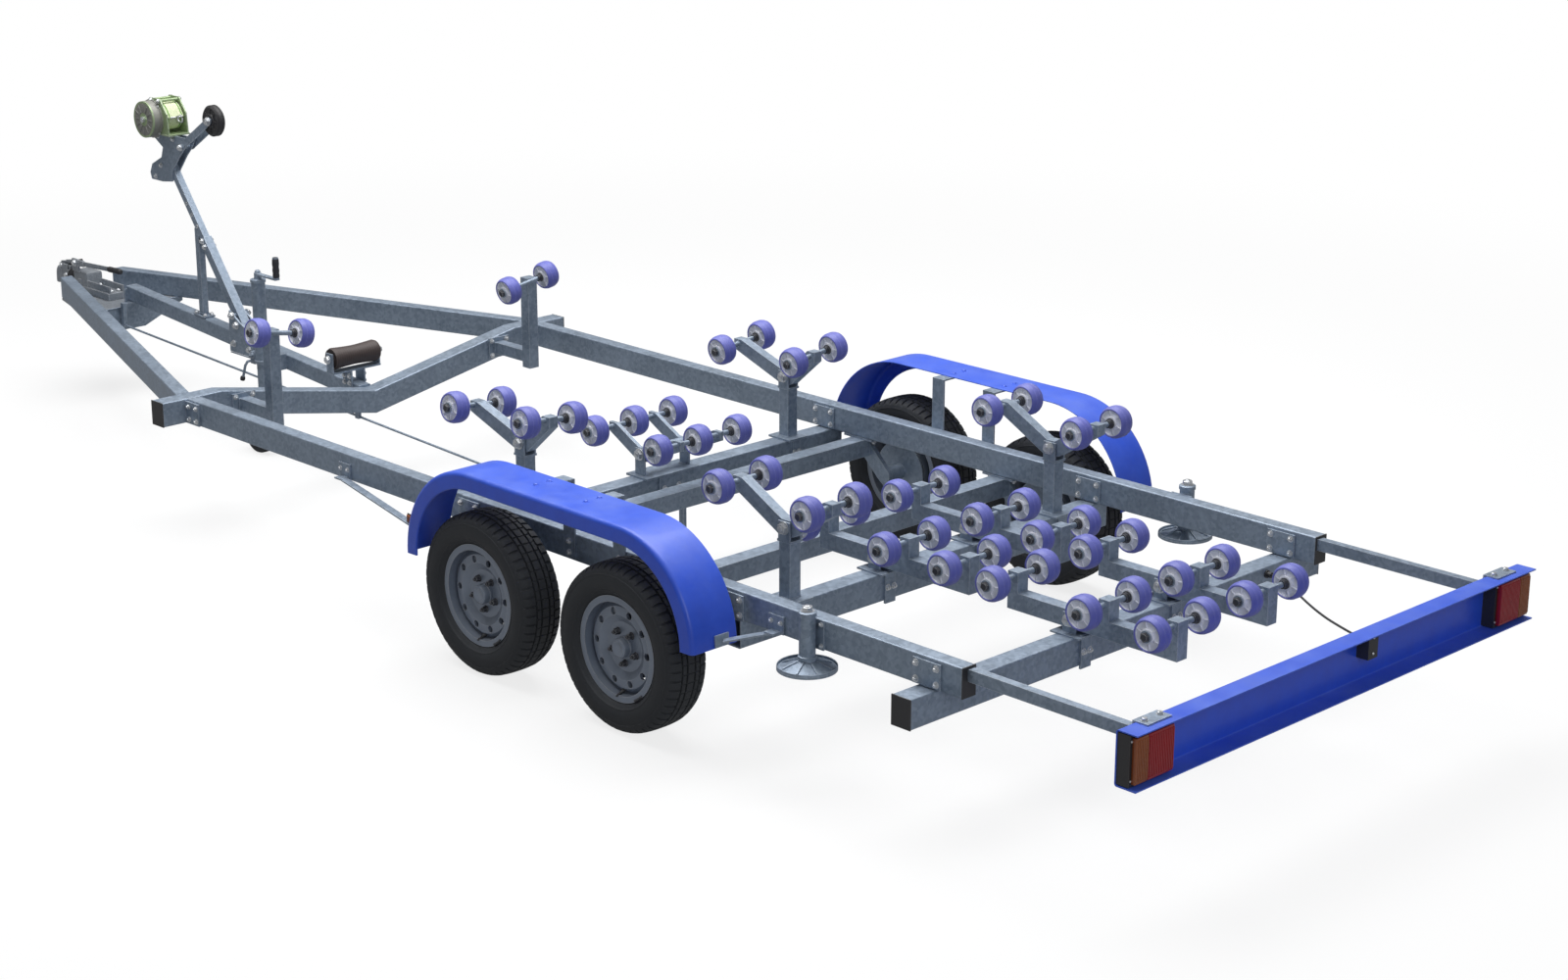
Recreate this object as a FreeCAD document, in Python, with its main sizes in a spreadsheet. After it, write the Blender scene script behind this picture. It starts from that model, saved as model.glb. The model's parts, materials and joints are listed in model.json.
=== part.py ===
import FreeCAD, Part
import math
import os
from types import SimpleNamespace

import Sketcher

# Tandem-axle boat trailer with a bed of swinging rollers, in millimetres.
# X points forward to the coupling, Y to the trailer's left and Z up from the ground.
# Places along X are measured from the middle of the mudguards,
# and the whole model is then moved so that its origin lies at mid-length.
SIZES = {
    # Wheels and axles
    "axle_spacing": 737,
    "axle_ahead": 24,
    "tyre_centre_y": 1069,
    "tyre_radius": 293,
    "tyre_width": 176,
    "tread_width": 114,
    "rim_radius": 167,
    "rim_width": 134,
    "rim_lip": 17,
    "rim_wall": 5,
    "disc_offset": 30,
    "hand_hole_radius": 13,
    "hand_hole_ring": 126,
    "drum_radius": 118,
    "drum_wall": 9,
    "hub_radius": 38,
    "stub_radius": 17,
    "axle_beam": 70,
    "axle_trail": 110,
    "arm_thickness": 20,
    # Side rails and cross members
    "rail_front": 2515,
    "rail_back": -1684,
    "rail_outer_y": 928,
    "rail_top": 540,
    "rail_width": 60,
    "rail_height": 100,
    "tube_wall": 4,
    "corner_radius": 6,
    "cross_width": 80,
    "cross_height": 100,
    "front_cross_x": 690,
    "back_cross_x": -680,
    "rear_cross_x": -1544,
    "cross_half": 1040,
    "vee_width": 80,
    "vee_height": 100,
    "vee_end_z": 490,
    "vee_centre_z": 347,
    "vee_kink_y": 760,
    # Drawbar and coupling
    "nose_setback": 260,
    "leg_nose_y": 172,
    "spine_setback": 350,
    "spine_width": 60,
    "spine_height": 70,
    "spine_back_z": 372,
    "spine_front_z": 502,
    "saddle_length": 36,
    "gusset_thickness": 8,
    "gusset_drop": 70,
    "mount_thickness": 10,
    "housing_ahead": 105,
    "housing_length": 320,
    "housing_width": 96,
    "shaft_radius": 25,
    "head_x": 5035,
    "lever_rise": 60,
    "lever_length": 150,
    "hand_lever_y": 42,
    "hand_lever_length": 330,
    "ball_radius": 25,
    "ball_clearance": 0.3,
    # Mudguards
    "guard_radius": 360,
    "guard_centre_x": 392,
    "guard_top": 742,
    "guard_inner_y": 975,
    "guard_outer_y": 1170,
    "guard_sheet": 3,
    "guard_lip": 62,
    "guard_front_z": 373,
    "guard_back_z": 388,
    "stay_width": 30,
    "stay_thickness": 6,
    "stay_front_x": 1440,
    "stay_back_x": -890,
    # Light bar
    "light_back": -2437,
    "light_depth": 77,
    "light_half": 1032,
    "light_bottom": 400,
    "light_height": 173,
    "light_sheet": 4,
    "light_arm_width": 30,
    "light_arm_height": 40,
    "light_arm_y": 890,
    "light_arm_z": 512,
    "lamp_length": 190,
    "plate_lamp_y": -155,
    # Winch post
    "post_x": 3464,
    "post_lean": 37.9,
    "post_outer": 42,
    "post_inner": 32,
    "strut_ahead": 352,
    "strut_width": 30,
    "post_sleeve_z": 860,
    "post_top_z": 1190,
    "bolt_radius": 8,
    "bolt_proud": 20,
    "winch_drop": 78,
    "cheek_behind": 95,
    "cheek_ahead": 95,
    "cheek_rise": 100,
    "cheek_plate": 8,
    "head_plate": 6,
    "head_plate_length": 340,
    "bow_arm_radius": 17,
    "drum_ahead": -2,
    "drum_above": 195,
    "strap_radius": 66,
    "strap_width": 84,
    "gear_radius": 82,
    "gear_depth": 50,
    "gear_ahead": 36,
    "gear_above": -10,
    "crank_length": 150,
    "bow_roller_behind": 380,
    "bow_roller_above": 25,
    "bow_roller_radius": 70,
    "bow_roller_width": 48,
    # Keel roller
    "keel_ahead": 75,
    "keel_roller_z": 526,
    "keel_roller_radius": 48,
    "keel_roller_length": 230,
    # Boat rollers and their cradles
    "roller_radius": 59,
    "roller_width": 62,
    "roller_rod": 10,
    "washer_thickness": 5,
    "rod_overhang": 8,
    "pivot_radius": 12,
    "outer_y": 666,
    "outer_roller_gap": 218,
    "outer_rod_z": 802,
    "outer_low_rod_z": 778,
    "outer_roll": 6,
    "outer_pivot_z": 692,
    "outer_front_lead": 265,
    "outer_front_tail": 141,
    "outer_back_lead": 227,
    "outer_back_tail": 191,
    "inner_y": 232,
    "inner_roller_gap": 245,
    "inner_rod_z": 572,
    "inner_pivot_z": 490,
    "inner_lead": 247,
    "inner_middle": 133,
    "inner_tail": 406,
    "inner_foot": 6,
    "inner_lug": 22,
    "centre_roller_gap": 200,
    "centre_rod_z": 606,
    "centre_pivot_z": 530,
    "centre_lead": 160,
    "centre_tail": 200,
    "rocker_width": 40,
    "inner_beam_width": 50,
    "inner_beam_height": 60,
    "ear_thickness": 6,
    "ear_gap": 2,
    # Front roller posts
    "front_post_setback": 225,
    "front_post_y": 664,
    "front_post_width": 50,
    "front_pair_y": 638,
    "front_rod_z": 806,
    "front_roll": 10,
    "front_roller_gap": 210,
    # Jockey wheel
    "jockey_x": 3176,
    "jockey_y": 125,
    "jockey_tube": 30,
    "jockey_leg": 24,
    "jockey_leg_length": 390,
    "jockey_tube_bottom": 420,
    "jockey_tube_top": 790,
    "jockey_wheel_radius": 100,
    "jockey_wheel_width": 50,
    "jockey_trail": 45,
    # Steady pads behind the wheels
    "steady_x": -1060,
    "steady_tube": 27,
    "steady_rod": 20,
    "steady_pad_radius": 98,
    "steady_pad_z": 375,
    "steady_travel": 100,
    # Brake rod
    "brake_rod_radius": 5,
    "brake_rod_y": 70,
    "brake_rod_setback": 26,
    "brake_rod_front_z": 358,
    "brake_rod_back_z": 212,
    # Light cable, between a gland on the rear cross member and one on the light bar
    "cable_radius": 4,
    "cable_start_y": -735,
    "cable_start_z": 415,
    "cable_end_y": -350,
    "cable_end_z": 447,
    "cable_lead": 42,
    "gland_radius": 10,
    "gland_length": 22,
    # Clearances
    "pin_clearance": 0.05,
    "seat_gap": 0.3,
}

Vector = FreeCAD.Vector
X_AXIS = Vector(1, 0, 0)
Y_AXIS = Vector(0, 1, 0)
Z_AXIS = Vector(0, 0, 1)
SIDES = (("left", 1), ("right", -1))

doc = FreeCAD.newDocument("boat_trailer")
sheet = doc.addObject("Spreadsheet::Sheet", "sizes")
for row, (alias, amount) in enumerate(SIZES.items(), start=1):
    sheet.set(f"A{row}", alias)
    sheet.set(f"B{row}", str(amount))
    sheet.setAlias(f"B{row}", alias)
doc.recompute()

s = SimpleNamespace(**{alias: float(sheet.get(alias)) for alias in SIZES})

# Places that several sub-parts share
nose_x = s.head_x + s.ball_radius + 20
shift_x = -(nose_x + s.light_back) / 2
rail_bottom = s.rail_top - s.rail_height
rail_y = s.rail_outer_y - s.rail_width / 2
cross_z = rail_bottom - s.cross_height / 2
vee_x = s.rail_front + s.vee_width / 2
vee_front = s.rail_front + s.vee_width
wheel_z = s.tyre_radius
guard_z = s.guard_top - s.guard_radius
AXLES = (("front", s.axle_ahead + s.axle_spacing / 2), ("back", s.axle_ahead - s.axle_spacing / 2))
leg_z = s.rail_top - s.rail_height / 2
leg_nose_x = s.head_x - s.nose_setback
spine_front = leg_nose_x - s.spine_setback
gusset_x = spine_front - s.gusset_thickness / 2
housing_front = leg_nose_x + s.housing_ahead
keel_x = vee_front + s.keel_ahead
front_post_x = s.rail_front - s.front_post_setback


def leg_y(x):
    """How far a drawbar leg's outer face stands from the middle."""
    return s.rail_outer_y + (s.leg_nose_y - s.rail_outer_y) * (x - vee_front) / (leg_nose_x - vee_front)


def spine_z(x):
    """Height of the spine's centre line, which rises from the dipped member to the drawbar."""
    rise = (s.spine_front_z - s.spine_back_z) / (spine_front - vee_front)
    return s.spine_back_z + rise * (x - vee_front)


spine_angle = math.degrees(math.atan2(s.spine_front_z - s.spine_back_z, spine_front - vee_front))
post_base_z = spine_z(s.post_x) + s.spine_height / 2
post_slope = math.tan(math.radians(s.post_lean))
drum_x = s.post_x + (s.post_top_z - post_base_z) * post_slope + s.drum_ahead
drum_z = s.post_top_z + s.drum_above
bow_roller_x = drum_x - s.bow_roller_behind
bow_roller_z = drum_z + s.bow_roller_above

# Where the light cable leaves its two glands, and the places it hangs through between the
# straight leads: the share of the way, then how far to the left and up from the straight line.
cable_start = Vector(s.rear_cross_x - s.cross_width / 2 - s.gland_length, s.cable_start_y, s.cable_start_z)
cable_end = Vector(s.light_back + s.light_depth + s.gland_length, s.cable_end_y, s.cable_end_z)
CABLE_SAG = ((0.137, -30, -16), (0.246, -24, -28), (0.366, -17, -35), (0.488, -10, -36), (0.609, -2, -30),
             (0.727, 7, -22), (0.842, 18, -11))

finished = {}


def number(rule):
    """The value of a cell name or an expression of cell names."""
    return float(sheet.evalExpression(rule))


def bound(rule):
    """The same rule, written for an object outside the sheet."""
    words = []
    word = ""
    for letter in rule + " ":
        if letter.isalnum() or letter == "_":
            word += letter
            continue
        words.append("sizes." + word if word in SIZES else word)
        words.append(letter)
        word = ""
    return "".join(words).strip()


def spot(x, y, z):
    """A place given from the axle midpoint, in the model's frame."""
    return Vector(x + shift_x, y, z)


def move(target, x, y, z, axis=Z_AXIS, angle=0.0):
    target.Placement = FreeCAD.Placement(spot(x, y, z), FreeCAD.Rotation(axis, angle))
    return target


def block(name, length, width, height, centre, axis=Z_AXIS, angle=0.0):
    """A box about its centre, with its three sizes bound to the sheet."""
    solid = doc.addObject("Part::Box", name)
    for side, rule in (("Length", length), ("Width", width), ("Height", height)):
        solid.setExpression(side, bound(rule))
    turn = FreeCAD.Rotation(axis, angle)
    half = Vector(number(length), number(width), number(height)) * 0.5
    solid.Placement = FreeCAD.Placement(spot(*centre) - turn.multVec(half), turn)
    return solid


def rod(name, radius, start, end):
    """A round bar from one place to another, its radius bound to the sheet."""
    solid = doc.addObject("Part::Cylinder", name)
    along = Vector(*end) - Vector(*start)
    solid.setExpression("Radius", bound(radius))
    solid.Height = along.Length
    solid.Placement = FreeCAD.Placement(spot(*start), FreeCAD.Rotation(Z_AXIS, along))
    return solid


def bar(name, width, thickness, start, end, upright=Z_AXIS):
    """A flat bar from one place to another, its thickness lying along upright."""
    along = Vector(*end) - Vector(*start)
    forward = Vector(along).normalize()
    across = upright.cross(forward).normalize()
    turn = FreeCAD.Rotation(forward, across, forward.cross(across), "XYZ")
    solid = doc.addObject("Part::Box", name)
    solid.Length = along.Length
    solid.setExpression("Width", bound(width))
    solid.setExpression("Height", bound(thickness))
    corner = turn.multVec(Vector(0, number(width) / 2, number(thickness) / 2))
    solid.Placement = FreeCAD.Placement(spot(*start) - corner, turn)
    return solid


def new_sketch(body, role, name):
    """A sketch on one of the body's own origin planes."""
    sketch = body.newObject("Sketcher::SketchObject", name)
    plane = [item for item in body.Origin.OriginFeatures if item.Role == role][0]
    sketch.AttachmentSupport = [(plane, "")]
    sketch.MapMode = "FlatFace"
    return sketch


def rectangle(sketch, wide, high):
    """A rectangle about the sketch's origin, held by constraints bound to the sheet."""
    first = sketch.GeometryCount
    half_w = number(wide) / 2
    half_h = number(high) / 2
    corners = [(-half_w, -half_h), (half_w, -half_h), (half_w, half_h), (-half_w, half_h)]
    for (ax, ay), (bx, by) in zip(corners, corners[1:] + corners[:1]):
        sketch.addGeometry(Part.LineSegment(Vector(ax, ay, 0), Vector(bx, by, 0)))
    for side in range(4):
        following = first + (side + 1) % 4
        sketch.addConstraint(Sketcher.Constraint("Coincident", first + side, 2, following, 1))
        level = "Horizontal" if side % 2 == 0 else "Vertical"
        sketch.addConstraint(Sketcher.Constraint(level, first + side))
    sketch.addConstraint(Sketcher.Constraint("Symmetric", first, 1, first + 2, 1, -1, 1))
    wide_rule = sketch.addConstraint(Sketcher.Constraint("DistanceX", first, 1, first, 2, 2 * half_w))
    sketch.setExpression(f"Constraints[{wide_rule}]", bound(wide))
    high_rule = sketch.addConstraint(
        Sketcher.Constraint("DistanceY", first + 1, 1, first + 1, 2, 2 * half_h))
    sketch.setExpression(f"Constraints[{high_rule}]", bound(high))


def rounded_rectangle(sketch, wide, high, radius):
    """A rectangle with rounded corners about the sketch's origin, bound to the sheet."""
    first = sketch.GeometryCount
    half_w = number(wide) / 2
    half_h = number(high) / 2
    bend = number(radius)
    flat_w = half_w - bend
    flat_h = half_h - bend
    lines = [(-flat_w, -half_h, flat_w, -half_h), (half_w, -flat_h, half_w, flat_h),
             (flat_w, half_h, -flat_w, half_h), (-half_w, flat_h, -half_w, -flat_h)]
    centres = [(flat_w, -flat_h), (flat_w, flat_h), (-flat_w, flat_h), (-flat_w, -flat_h)]
    for quarter, ((ax, ay, bx, by), (cx, cy)) in enumerate(zip(lines, centres)):
        sketch.addGeometry(Part.LineSegment(Vector(ax, ay, 0), Vector(bx, by, 0)))
        circle = Part.Circle(Vector(cx, cy, 0), Z_AXIS, bend)
        start = math.radians(90 * (quarter - 1))
        sketch.addGeometry(Part.ArcOfCircle(circle, start, start + math.pi / 2))
    for quarter in range(4):
        line = first + 2 * quarter
        following = first + 2 * ((quarter + 1) % 4)
        sketch.addConstraint(Sketcher.Constraint("Tangent", line, 2, line + 1, 1))
        sketch.addConstraint(Sketcher.Constraint("Tangent", line + 1, 2, following, 1))
        sketch.addConstraint(Sketcher.Constraint("Horizontal" if quarter % 2 == 0 else "Vertical", line))
        if quarter:
            sketch.addConstraint(Sketcher.Constraint("Equal", first + 1, line + 1))
    sketch.addConstraint(Sketcher.Constraint("Symmetric", first, 1, first + 4, 1, -1, 1))
    rules = (
        (sketch.addConstraint(Sketcher.Constraint("DistanceX", first + 6, 1, first + 2, 1, 2 * half_w)),
         wide),
        (sketch.addConstraint(Sketcher.Constraint("DistanceY", first, 1, first + 4, 1, 2 * half_h)), high),
        (sketch.addConstraint(Sketcher.Constraint("Radius", first + 1, bend)), radius),
    )
    for index, rule in rules:
        sketch.setExpression(f"Constraints[{index}]", bound(rule))


def outline(sketch, points):
    """A closed outline of straight lines."""
    for (ax, ay), (bx, by) in zip(points, points[1:] + points[:1]):
        sketch.addGeometry(Part.LineSegment(Vector(ax, ay, 0), Vector(bx, by, 0)))


def pad(body, sketch, rule, name):
    """A pad that stands out equally on both sides of its sketch."""
    feature = body.newObject("PartDesign::Pad", name)
    feature.Profile = sketch
    feature.Midplane = True
    feature.setExpression("Length", bound(rule))
    return feature


def tube(name, role, wide, high, length):
    """A hollow square tube about its middle, running square to the plane of the given role."""
    body = doc.addObject("PartDesign::Body", name)
    sketch = new_sketch(body, role, name + "_section")
    rounded_rectangle(sketch, wide, high, "corner_radius")
    rectangle(sketch, f"{wide} - 2 * tube_wall", f"{high} - 2 * tube_wall")
    pad(body, sketch, length, name + "_pad")
    return body


def plate(name, role, points, thickness):
    """A flat piece cut to an outline, its sketch plane at half its thickness."""
    body = doc.addObject("PartDesign::Body", name)
    sketch = new_sketch(body, role, name + "_outline")
    outline(sketch, points)
    pad(body, sketch, thickness, name + "_pad")
    return body


def rounded_edges(body, name, least):
    """Round the body's edges that are longer than the given length, as on a rolled tube."""
    doc.recompute()
    last = body.Tip
    feature = body.newObject("PartDesign::Fillet", name)
    edges = [f"Edge{index}" for index, edge in enumerate(last.Shape.Edges, start=1) if edge.Length > least]
    feature.Base = (last, edges)
    feature.setExpression("Radius", bound("corner_radius"))
    return body


def side_plate(name, points, thickness, y):
    """A plate in a lengthwise upright plane, from places given along X and Z."""
    return move(plate(name, "XZ_Plane", points, thickness), 0, y, 0)


def turned(name, points, start_angle=0.0):
    """A piece turned about the Y axis from its radius and axial places."""
    body = doc.addObject("PartDesign::Body", name)
    sketch = new_sketch(body, "XY_Plane", name + "_profile")
    outline(sketch, points)
    feature = body.newObject("PartDesign::Revolution", name + "_turn")
    feature.Profile = sketch
    feature.ReferenceAxis = (sketch, ["V_Axis"])
    feature.Angle = 360
    return body


def join(name, pieces):
    fused = doc.addObject("Part::MultiFuse", name)
    fused.Shapes = pieces
    return fused


def cut(name, base, tool):
    result = doc.addObject("Part::Cut", name)
    result.Base = base
    result.Tool = tool
    return result


def group(name, pieces):
    """Solids that share a node and don't touch, or only meet face to face."""
    collection = doc.addObject("Part::Compound", name)
    collection.Links = pieces
    return collection


def finish(label, piece):
    """Name a sub-part; the label is its file's name."""
    piece.Label = label
    finished[label] = piece


def make_rails():
    middle = (s.rail_front + s.rail_back) / 2
    rails = []
    for side, sign in SIDES:
        rail = tube(f"rail_{side}_tube", "YZ_Plane", "rail_width", "rail_height",
                    "rail_front - rail_back")
        rails.append(move(rail, middle, sign * rail_y, leg_z))
    finish("rails", group("rail_pair", rails))


def make_cross_members():
    beams = []
    for name, place, half in (("cross_front", s.front_cross_x, "rail_outer_y"),
                              ("cross_back", s.back_cross_x, "rail_outer_y"),
                              ("cross_rear", s.rear_cross_x, "cross_half")):
        beam = tube(name, "XZ_Plane", "cross_width", "cross_height", f"2 * {half}")
        beams.append(move(beam, place, 0, cross_z))
    finish("cross_members", group("cross_set", beams))


def vee_height_at(y):
    """Height of the dipped member's centre line at a distance from the middle."""
    rise = (s.vee_end_z - s.vee_centre_z) * min(abs(y) / s.vee_kink_y, 1.0)
    return s.vee_centre_z + rise


def vee_outline(inset):
    """Outline of the dipped member's front, set in by a wall where it is its hollow."""
    half_h = s.vee_height / 2 - inset
    stations = (-s.cross_half, -s.vee_kink_y, 0.0, s.vee_kink_y, s.cross_half)
    below = [(y, vee_height_at(y) - half_h) for y in stations]
    above = [(y, vee_height_at(y) + half_h) for y in reversed(stations)]
    return below + above


def make_vee_member():
    """The dipped member, the plates that hold it to the rails and those that take the spine."""
    outside = plate("vee_outside", "YZ_Plane", vee_outline(0), "vee_width")
    rounded_edges(outside, "vee_corners", 2 * s.vee_width)
    hollow = plate("vee_hollow", "YZ_Plane", vee_outline(s.tube_wall), "vee_width - 2 * tube_wall")
    for piece in (outside, hollow):
        move(piece, vee_x, 0, 0)
    pieces = [cut("vee_beam", outside, hollow)]
    clamp = 8
    reach = 90
    cheek_z = (s.spine_back_z + s.vee_centre_z) / 2
    for side, sign in SIDES:
        pieces.append(block(f"vee_clamp_{side}", f"{reach + 20}", f"{clamp}", "rail_height - 10",
                            (s.rail_front - reach / 2 + 10, sign * (s.rail_outer_y + s.seat_gap + clamp / 2),
                             leg_z - 4)))
        pieces.append(block(f"vee_cheek_{side}", "saddle_length + 10", f"{clamp}", "spine_height - 10",
                            (vee_front + s.saddle_length / 2 - 5,
                             sign * (s.spine_width / 2 + s.seat_gap + clamp / 2), cheek_z + 6)))
    finish("cross_member_vee", join("vee_member", pieces))


def leg_outline(sign, inset):
    """Plan of one drawbar leg, from the dipped member's front to its nose beside the coupling."""
    slope = (s.rail_outer_y - s.leg_nose_y) / (leg_nose_x - vee_front)
    stretch = math.sqrt(1 + slope ** 2)
    back = vee_front + inset
    nose = leg_nose_x - inset
    outer = inset * stretch
    inner = (s.rail_width - inset) * stretch
    return [(back, sign * (leg_y(back) - outer)), (nose, sign * (leg_y(nose) - outer)),
            (nose, sign * (leg_y(nose) - inner)), (back, sign * (leg_y(back) - inner))]


def make_drawbar():
    legs = []
    for side, sign in SIDES:
        outside = plate(f"leg_{side}_outside", "XY_Plane", leg_outline(sign, 0), "rail_height")
        rounded_edges(outside, f"leg_{side}_corners", 3 * s.rail_height)
        hollow = plate(f"leg_{side}_hollow", "XY_Plane", leg_outline(sign, s.tube_wall),
                       "rail_height - 2 * tube_wall")
        for piece in (outside, hollow):
            move(piece, 0, 0, leg_z)
        legs.append(cut(f"leg_{side}", outside, hollow))
    finish("drawbar_legs", group("leg_pair", legs))


def make_spine():
    """The spine and the plate across its front end, which reaches under both drawbar legs."""
    half = s.spine_height / 2
    back = vee_front + s.seat_gap
    points = [(back, spine_z(back) - half), (spine_front, spine_z(spine_front) - half),
              (spine_front, spine_z(spine_front) + half), (back, spine_z(back) + half)]
    beam = side_plate("spine_beam", points, "spine_width", 0)
    rounded_edges(beam, "spine_corners", 3 * s.spine_height)
    top = rail_bottom - s.seat_gap
    reach = leg_y(gusset_x) - s.rail_width / 2
    neck = s.spine_width / 2 + 14
    low = rail_bottom - s.gusset_drop - 40
    gusset = plate("spine_gusset", "YZ_Plane",
                   [(-reach, top), (-reach, top - 20), (-neck - 10, low), (neck + 10, low), (reach, top - 20),
                    (reach, top), (neck, top), (neck, spine_z(gusset_x) + 20),
                    (-neck, spine_z(gusset_x) + 20), (-neck, top)], "gusset_thickness")
    move(gusset, gusset_x, 0, 0)
    finish("drawbar_spine", join("spine", [beam, gusset]))


def make_coupling():
    """Ball coupling: a bolted mount, the drawshaft, the head over the ball and the two levers."""
    head_z = leg_z + 6
    mount_back = gusset_x + s.gusset_thickness / 2 + s.seat_gap
    mount_front = leg_nose_x
    tail_z = rail_bottom - s.seat_gap
    pieces = [plate("coupling_mount", "XY_Plane",
                    [(mount_back, -leg_y(mount_back) + 30), (mount_front, -leg_y(mount_front)),
                     (mount_front, leg_y(mount_front)), (mount_back, leg_y(mount_back) - 30)],
                    "mount_thickness")]
    move(pieces[0], 0, 0, tail_z - s.mount_thickness / 2)
    pieces.append(block("coupling_tail", "housing_length", "housing_width", "34",
                        (housing_front - s.housing_length / 2, 0, tail_z + 17)))
    collar = s.housing_ahead + 20
    pieces.append(block("coupling_housing", f"{collar}", "housing_width - 8", "rail_height + 4",
                        (housing_front - collar / 2, 0, tail_z + s.rail_height / 2 + 2)))
    pieces.append(rod("coupling_shaft", "shaft_radius", (housing_front - 20, 0, head_z),
                      (s.head_x - 10, 0, head_z)))
    for ring in range(4):
        start = housing_front + 16 * ring
        pieces.append(rod(f"coupling_gaiter_{ring}", "shaft_radius + 14", (start, 0, head_z),
                          (start + 9, 0, head_z)))
        pieces.append(rod(f"coupling_fold_{ring}", "shaft_radius + 6", (start + 8, 0, head_z),
                          (start + 17, 0, head_z)))
    pieces.append(rod("coupling_cup", "ball_radius + 14", (s.head_x, 0, head_z - 42),
                      (s.head_x, 0, head_z + 30)))
    pieces.append(block("coupling_throat", "92", "60", "64", (s.head_x - 46, 0, head_z)))
    pieces.append(block("coupling_bridge", "96", "46", "24", (s.head_x - 44, 0, head_z + 38)))
    socket = rod("coupling_socket", "ball_radius + ball_clearance", (s.head_x, 0, head_z - 43),
                 (s.head_x, 0, head_z))
    body = cut("coupling_body", join("coupling_solid", pieces), socket)
    lever_root = (s.head_x + 4, 0, head_z + 46)
    lever_tip = (s.head_x - s.lever_length, 0, head_z + s.lever_rise + 14)
    lever = bar("coupling_lever", "30", "12", lever_root, lever_tip)
    ear_x = housing_front - 30
    ear = block("brake_ear", "56", "12", "60", (ear_x, s.hand_lever_y, tail_z + s.rail_height + 29))
    root = (ear_x, s.hand_lever_y, tail_z + s.rail_height + 40)
    tip = (ear_x - s.hand_lever_length, s.hand_lever_y + 6, root[2] + 20)
    hand = bar("brake_lever", "22", "8", root, tip, Y_AXIS)
    grip = rod("brake_grip", "13", (tip[0] + 20, tip[1], tip[2] - 1), (tip[0] - 90, tip[1] + 2, tip[2] + 4))
    finish("coupling_head", join("coupling", [body, lever, ear, hand, grip]))


def guard_sketch(body, name, depth):
    """The mudguard's side view: two arcs with a flat between them, as deep as given."""
    sketch = new_sketch(body, "XZ_Plane", name)
    centre_z = guard_z
    ends = []
    for radius in (s.guard_radius, s.guard_radius - depth):
        front = math.asin((s.guard_front_z - centre_z) / radius)
        back = math.asin((s.guard_back_z - centre_z) / radius)

        def on_arc(middle, angle):
            return Vector(middle + radius * math.cos(angle), centre_z + radius * math.sin(angle), 0)

        start = on_arc(s.guard_centre_x, front)
        over = on_arc(s.guard_centre_x, (front + math.pi / 2) / 2)
        crest = Vector(s.guard_centre_x, centre_z + radius, 0)
        sketch.addGeometry(Part.Arc(start, over, crest))
        far_crest = Vector(-s.guard_centre_x, centre_z + radius, 0)
        sketch.addGeometry(Part.LineSegment(crest, far_crest))
        back_over = on_arc(-s.guard_centre_x, math.pi - (back + math.pi / 2) / 2)
        stop = on_arc(-s.guard_centre_x, math.pi - back)
        sketch.addGeometry(Part.Arc(far_crest, back_over, stop))
        ends.append((start, stop))
    (outer_start, outer_stop), (inner_start, inner_stop) = ends
    sketch.addGeometry(Part.LineSegment(outer_start, inner_start))
    sketch.addGeometry(Part.LineSegment(outer_stop, inner_stop))
    return sketch


def make_mudguards():
    width = s.guard_outer_y - s.guard_inner_y
    guards = []
    for side, sign in SIDES:
        top = doc.addObject("PartDesign::Body", f"guard_{side}_top")
        pad(top, guard_sketch(top, f"guard_{side}_top_view", s.guard_sheet),
            "guard_outer_y - guard_inner_y", f"guard_{side}_top_pad")
        move(top, 0, sign * (s.guard_inner_y + width / 2), 0)
        lip = doc.addObject("PartDesign::Body", f"guard_{side}_lip")
        pad(lip, guard_sketch(lip, f"guard_{side}_lip_view", s.guard_lip),
            "guard_sheet", f"guard_{side}_lip_pad")
        move(lip, 0, sign * (s.guard_outer_y - s.guard_sheet / 2), 0)
        guards.append(join(f"guard_{side}", [top, lip]))
    finish("mudguards", group("guard_pair", guards))


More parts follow.
